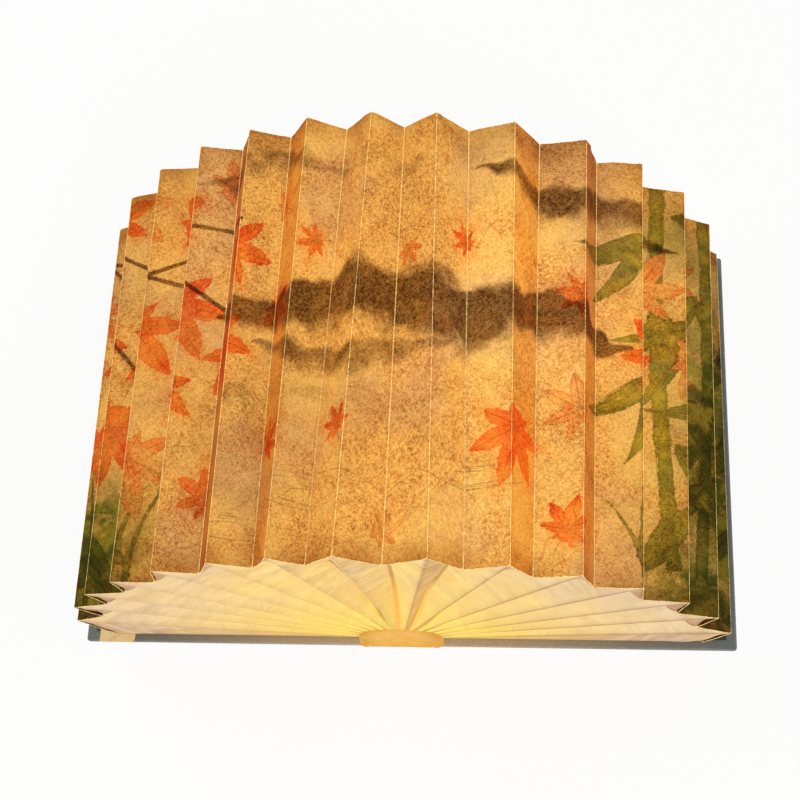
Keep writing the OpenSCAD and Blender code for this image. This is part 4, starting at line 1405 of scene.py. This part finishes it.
def crease_mitres(piece, side, width, depth):
    """Cuts a shallow line across the turned-in rim at both outer corners."""
    for end in (-1, 1):
        corner = Vector((side * COVER_OUT, end * COVER_END, 0)) * MM
        across = Vector((side, -end, 0)).normalized()
        for shift in (-width, width, 0):
            mesh = edit(piece)
            for face in mesh.faces:
                face.select_set(face.normal.z > 0.9 and face.calc_center_median().z > COVER_TOP * MM / 2)
            show_selection(piece)
            bpy.ops.mesh.bisect(plane_co=corner + across * shift, plane_no=across)
            leave_edit()
        mesh = edit(piece, "VERT")
        for v in mesh.verts:
            away = v.co - corner
            on_line = abs(away.dot(across)) < 2e-6 and away.xy.length < 0.009
            if on_line and v.co.z > (COVER_TOP - 0.3) * MM:
                v.co.z -= depth
        show_selection(piece)
        leave_edit()


def round_edges(piece, along_z, corner, edge):
    """Rounds the upright outer corners first, and then the long edges of both faces."""
    mesh = edit(piece, "EDGE")
    outer_x = max(abs(v.co.x) for v in mesh.verts)
    outer_y = max(abs(v.co.y) for v in mesh.verts)
    for one in mesh.edges:
        a, b = (v.co for v in one.verts)
        upright = abs(a.x - b.x) < 1e-6 and abs(a.y - b.y) < 1e-6
        at_corner = abs(abs(a.x) - outer_x) < 1e-6 and abs(abs(a.y) - outer_y) < 1e-6
        one.select_set(upright and at_corner and along_z)
    show_selection(piece)
    if along_z:
        bpy.ops.mesh.bevel(offset=corner, segments=5, affect="EDGES")
    mesh = bmesh.from_edit_mesh(piece.data)
    for one in mesh.edges:
        one.select_set(False)
    for one in mesh.edges:
        if len(one.link_faces) == 2:
            one.select_set(one.calc_face_angle(0) > radians(60))
    show_selection(piece)
    bpy.ops.mesh.bevel(offset=edge, segments=3, affect="EDGES")
    leave_edit()


def make_cover(side):
    s = sizes()
    name = "left" if side < 0 else "right"
    xs = sorted((side * COVER_IN, side * COVER_OUT))
    piece = solid_block(f"{name}_cover_skin", (xs[0], -COVER_END, 0), (xs[1], COVER_END, COVER_TOP))
    open_top(piece, s.rim_width)
    round_edges(piece, True, s.corner_round, s.edge_round)
    crease_mitres(piece, side, 0.00022, 0.00016)
    thicken(piece, s.wrap_thickness)
    smooth(piece, 35)
    dress(piece, "leatherette", f"{name}_cover", f"{name}_wrap")


def make_spine():
    s = sizes()
    piece = solid_block("spine_skin", (-SPINE_SIDE, -COVER_END, 0), (SPINE_SIDE, COVER_END, COVER_TOP))
    open_top(piece, 0.0008, s.rim_width - 0.0008)
    round_edges(piece, False, 0, s.edge_round * 0.6)
    thicken(piece, s.wrap_thickness)
    smooth(piece, 35)
    dress(piece, "leatherette", "spine", "spine_wrap")


def make_fold(side):
    """The bare skin between spine and cover, pressed into a shallow groove."""
    name = "left" if side < 0 else "right"
    piece = flat_grid(f"{name}_fold_skin", 16, 72)
    unit = corners_of(piece)
    share = unit[:, 0] + 0.5
    x = SPINE_SIDE - 0.35 + share * (COVER_IN - SPINE_SIDE + 0.7)
    y = unit[:, 1] * 2 * (COVER_END - 0.1)
    dip = np.sin(pi * share) ** 2
    z = COVER_TOP / 2 + 0.4 + 0.12 * wrinkle(x, y, 14, 81) * dip - 0.25 * dip
    lay_out(piece, side * x, y, z)
    face_out(piece, Vector((0, 0, 1)))
    thicken(piece, 0.0008)
    smooth(piece, 40)
    dress(piece, "leatherette", None, f"{name}_fold_strip")
    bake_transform(piece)


def paper_marks(piece, x, y, reach, glow, fold):
    store_vector(piece, "canvas", x * MM, y * MM, np.zeros(x.shape))
    store(piece, "reach", reach)
    store(piece, "fold", fold)
    store(piece, "open", np.full(x.shape, 0.7))
    store(piece, "glow", glow)
    store(piece, "pale", np.full(x.shape, 0.6))
    store(piece, "amber", np.zeros(x.shape))
    store(piece, "nook", np.full(x.shape, 9.0))


def make_strip(side):
    """The paper margin that is glued down on the endpaper under the first valley."""
    name = "left" if side < 0 else "right"
    piece = flat_grid(f"{name}_strip", 22, 150)
    unit = corners_of(piece)
    x = (MARGIN_LOW.x + MARGIN_HIGH.x) / 2 + unit[:, 0] * (MARGIN_HIGH.x - MARGIN_LOW.x)
    y = unit[:, 1] * (MARGIN_HIGH.y - MARGIN_LOW.y)
    torn = 0.35 * wrinkle(x, y, 21, 91) * ease(np.abs(unit[:, 0]), 0.4, 0.5)
    z = MARGIN_HIGH.z + 0.12 * np.abs(dents(x, y, 24, 92 + side))
    lay_out(piece, side * (x + torn), y, z)
    paper_marks(piece, x, y, np.full(x.shape, 0.9), np.full(x.shape, 0.42),
                np.full(x.shape, 9.0))
    face_out(piece, Vector((0, 0, 1)))
    thicken(piece, 0.0003)
    return piece


def make_flap():
    """The paper flap left showing on the rim: its outer corner is folded over."""
    low, high = (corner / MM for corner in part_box("left_glue_margin"))
    piece = flat_grid("left_flap", 76, 30)
    unit = corners_of(piece)
    across, away = unit[:, 0] + 0.5, unit[:, 1] + 0.5
    x = low.x + across * (high.x - low.x)
    y = -COVER_END - 0.5 + away * 7.0
    corner = 2.2
    near_corner = np.clip(corner - across * 0 - (high.x - x), 0, corner)
    y = y + (corner - np.sqrt(np.maximum(corner ** 2 - near_corner ** 2, 0))) * (1 - away)
    diagonal = (across * 1.9 - 0.55) - away * 0.9
    crest = np.exp(-np.abs(diagonal) * 4.0)
    z = COVER_TOP + 0.42 + 0.95 * crest * (0.35 + away) + 0.55 * ease(across, 0.82, 1.0)
    z = z + 0.22 * wrinkle(x, y, 9, 95) + 0.8 * ease(-across, -0.16, 0.0)
    lay_out(piece, x, y, z)
    paper_marks(piece, x, y, np.full(x.shape, 0.86), np.full(x.shape, 0.80),
                np.minimum(np.abs(diagonal) * 9, 9))
    face_out(piece, Vector((0, 0, 1)))
    thicken(piece, 0.0003)
    return piece


def make_margins():
    left = join([make_strip(-1), make_flap()])
    right = make_strip(1)
    for piece, name in ((left, "left"), (right, "right")):
        piece.name = piece.data.name = f"{name}_paper_margin"
        smooth(piece, 25)
        dress(piece, "cream_paper", f"{name}_cover", f"{name}_glue_margin")


# ---------------------------------------------------------------- CAD nodes that stay


KEPT_NODES = {
    "grey_board": ("left_board", "right_board", "spine_board"),
    "black_paper": ("left_endpaper", "right_endpaper"),
    "bright_metal": ("left_closing_magnets", "right_closing_magnets", "switch_magnet",
                     "charge_socket"),
    "white_tape": ("core_tape",),
    "white_plastic": ("core_housing", "front_end_cap", "rear_end_cap"),
    "milky_plastic": ("diffuser_strip",),
    "light_board": ("led_board",),
    "lamp_phosphor": ("led_chips",),
    "battery_foil": ("battery",),
    "circuit_board": ("control_board",),
    "sensor_black": ("opening_sensor",),
    "lead_cover": ("leads",),
}


def finish_kept_nodes():
    for finish, nodes in KEPT_NODES.items():
        for node in nodes:
            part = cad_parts[node]
            part.data.materials.clear()
            part.data.materials.append(finish_named(finish))


# ---------------------------------------------------------------- stage


CAMERA_PLACE = (0.1031, -0.2498, 0.7307)
CAMERA_ELEVATION = 67.794
CAMERA_YAW = -21.64
CAMERA_ROLL = -20.68
CAMERA_LENS = 64.855


def place_camera():
    elevation, yaw, roll = (radians(a) for a in (CAMERA_ELEVATION, CAMERA_YAW, CAMERA_ROLL))
    look = Vector((sin(yaw) * cos(elevation), cos(yaw) * cos(elevation), -sin(elevation)))
    level = Vector((cos(yaw), -sin(yaw), 0))
    above = level.cross(look)
    right = level * cos(roll) + above * sin(roll)
    up = above * cos(roll) - level * sin(roll)
    rows = [(right[i], up[i], -look[i], CAMERA_PLACE[i]) for i in range(3)]
    lone()
    bpy.ops.object.camera_add()
    camera = bpy.context.object
    camera.name = "camera"
    camera.matrix_world = Matrix((*rows, (0, 0, 0, 1)))
    camera.data.lens = CAMERA_LENS
    camera.data.sensor_width = 36
    camera.data.clip_start = 0.01
    bpy.context.scene.camera = camera


def place_lamp(name, place, aim, size, power):
    lone()
    bpy.ops.object.light_add(type="AREA", location=place)
    lamp = bpy.context.object
    lamp.name = name
    lamp.data.shape = "DISK"
    lamp.data.size = size
    lamp.data.energy = power
    lamp.data.color = (1.0, 0.985, 0.96)
    lamp.rotation_euler = (Vector(aim) - Vector(place)).to_track_quat("-Z", "Y").to_euler()


def seen_ray(tree):
    """1 for rays that see the stage: straight, in a reflection or through something clear."""
    path = add(tree, "LightPath")
    seen = calc(tree, "MAXIMUM", path.outputs["Is Camera Ray"], path.outputs["Is Glossy Ray"])
    return calc(tree, "MAXIMUM", seen, path.outputs["Is Transmission Ray"])


def set_world(level):
    world = bpy.data.worlds.new("studio")
    bpy.context.scene.world = world
    world.use_nodes = True
    tree = world.node_tree
    back = tree.nodes["Background"]
    back.inputs["Color"].default_value = (1, 1, 1, 1)
    strength = add(tree, "MapRange")
    for socket, value in zip(strength.inputs, (seen_ray(tree), 0.0, 1.0, level, 1.0)):
        feed(tree, socket, value)
    tree.links.new(strength.outputs[0], back.inputs["Strength"])


def make_floor():
    lone()
    bpy.ops.mesh.primitive_grid_add(x_subdivisions=8, y_subdivisions=8, size=14.0,
                                    location=(0, 0, -0.0002))
    floor = name_piece("floor")
    bpy.ops.object.transform_apply(location=True, rotation=True, scale=True)
    material = bpy.data.materials.new("pale_floor")
    material.use_nodes = True
    tree = material.node_tree
    shader = tree.nodes["Principled BSDF"]
    place = from_object(tree)
    tone = span(tree, noise(tree, place, 3.0, 3), 0.3, 0.7)
    feed(tree, shader.inputs["Base Color"], mix(tree, tone, (0.955, 0.955, 0.955), (0.97, 0.97, 0.97)))
    shader.inputs["Roughness"].default_value = 0.9
    shader.inputs["Specular IOR Level"].default_value = 0.1
    light = add(tree, "Emission")
    light.inputs["Color"].default_value = (1, 1, 1, 1)
    light.inputs["Strength"].default_value = 1.0
    both = add(tree, "MixShader")
    feed(tree, both.inputs[0], calc(tree, "MULTIPLY", seen_ray(tree), 0.9))
    tree.links.new(shader.outputs[0], both.inputs[1])
    tree.links.new(light.outputs[0], both.inputs[2])
    tree.links.new(both.outputs[0], tree.nodes["Material Output"].inputs["Surface"])
    floor.data.materials.append(material)


# ---------------------------------------------------------------- operators


class LAMP_OT_stage(bpy.types.Operator):
    """Set the camera, the floor and soft studio light"""

    bl_idname = "lamp.stage"
    bl_label = "Stage"

    def execute(self, context):
        scene = context.scene
        scene.view_settings.view_transform = "Standard"
        place_camera()
        set_world(0.50)
        place_lamp("key", (0.55, -0.75, 1.35), (0, 0, 0.05), 0.9, 9)
        place_lamp("fill", (-0.9, 0.5, 1.1), (0, 0, 0.05), 1.0, 4)
        make_floor()
        return {"FINISHED"}


class LAMP_OT_pages(bpy.types.Operator):
    """Fold the printed pages"""

    bl_idname = "lamp.pages"
    bl_label = "Printed pages"

    def execute(self, context):
        for page in range(1, PAGES + 1):
            make_printed_page(page)
        return {"FINISHED"}


class LAMP_OT_webs(bpy.types.Operator):
    """Fold the cream webs that close both ends of the pages"""

    bl_idname = "lamp.webs"
    bl_label = "End webs"

    def execute(self, context):
        for page in range(1, PAGES + 1):
            make_end_webs(page)
        return {"FINISHED"}


class LAMP_OT_film(bpy.types.Operator):
    """Bend the amber film over the lamp, with its hem on the rim"""

    bl_idname = "lamp.film"
    bl_label = "Film tunnel"

    def execute(self, context):
        for side in (-1, 1):
            make_tunnel_half(side)
            make_film_hem(side)
        return {"FINISHED"}


class LAMP_OT_covers(bpy.types.Operator):
    """Wrap both covers, the spine and the folds in leatherette"""

    bl_idname = "lamp.covers"
    bl_label = "Covers and spine"

    def execute(self, context):
        for side in (-1, 1):
            make_cover(side)
            make_fold(side)
        make_spine()
        return {"FINISHED"}


class LAMP_OT_margins(bpy.types.Operator):
    """Glue down the paper margins, with the flap at the front left corner"""

    bl_idname = "lamp.margins"
    bl_label = "Paper margins"

    def execute(self, context):
        make_margins()
        return {"FINISHED"}


class LAMP_OT_core(bpy.types.Operator):
    """Finish the endpapers, boards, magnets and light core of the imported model"""

    bl_idname = "lamp.core"
    bl_label = "Core finishes"

    def execute(self, context):
        finish_kept_nodes()
        return {"FINISHED"}


STEPS = (LAMP_OT_stage, LAMP_OT_pages, LAMP_OT_webs, LAMP_OT_film, LAMP_OT_covers,
         LAMP_OT_margins, LAMP_OT_core)


class LAMP_PT_panel(bpy.types.Panel):
    """Lists the lamp's pieces, sizes and colours"""

    bl_idname = "LAMP_PT_panel"
    bl_label = "Book Lamp"
    bl_space_type = "VIEW_3D"
    bl_region_type = "UI"
    bl_category = "Book Lamp"

    def draw(self, context):
        for step in STEPS:
            self.layout.operator(step.bl_idname)
        for group in (context.scene.lamp_sizes, context.scene.lamp_colours):
            box = self.layout.box()
            for name in group.bl_rna.properties.keys():
                if name not in ("rna_type", "name"):
                    box.prop(group, name)


CLASSES = (LampSizes, LampColours, *STEPS, LAMP_PT_panel)


def register():
    for one in CLASSES:
        bpy.utils.register_class(one)
    bpy.types.Scene.lamp_sizes = bpy.props.PointerProperty(type=LampSizes)
    bpy.types.Scene.lamp_colours = bpy.props.PointerProperty(type=LampColours)


def unregister():
    del bpy.types.Scene.lamp_colours
    del bpy.types.Scene.lamp_sizes
    for one in reversed(CLASSES):
        bpy.utils.unregister_class(one)


def main():
    register()
    bpy.ops.lamp.stage()
    bpy.ops.lamp.pages()
    bpy.ops.lamp.webs()
    bpy.ops.lamp.film()
    bpy.ops.lamp.covers()
    bpy.ops.lamp.margins()
    bpy.ops.lamp.core()


if __name__ == "__main__":
    main()
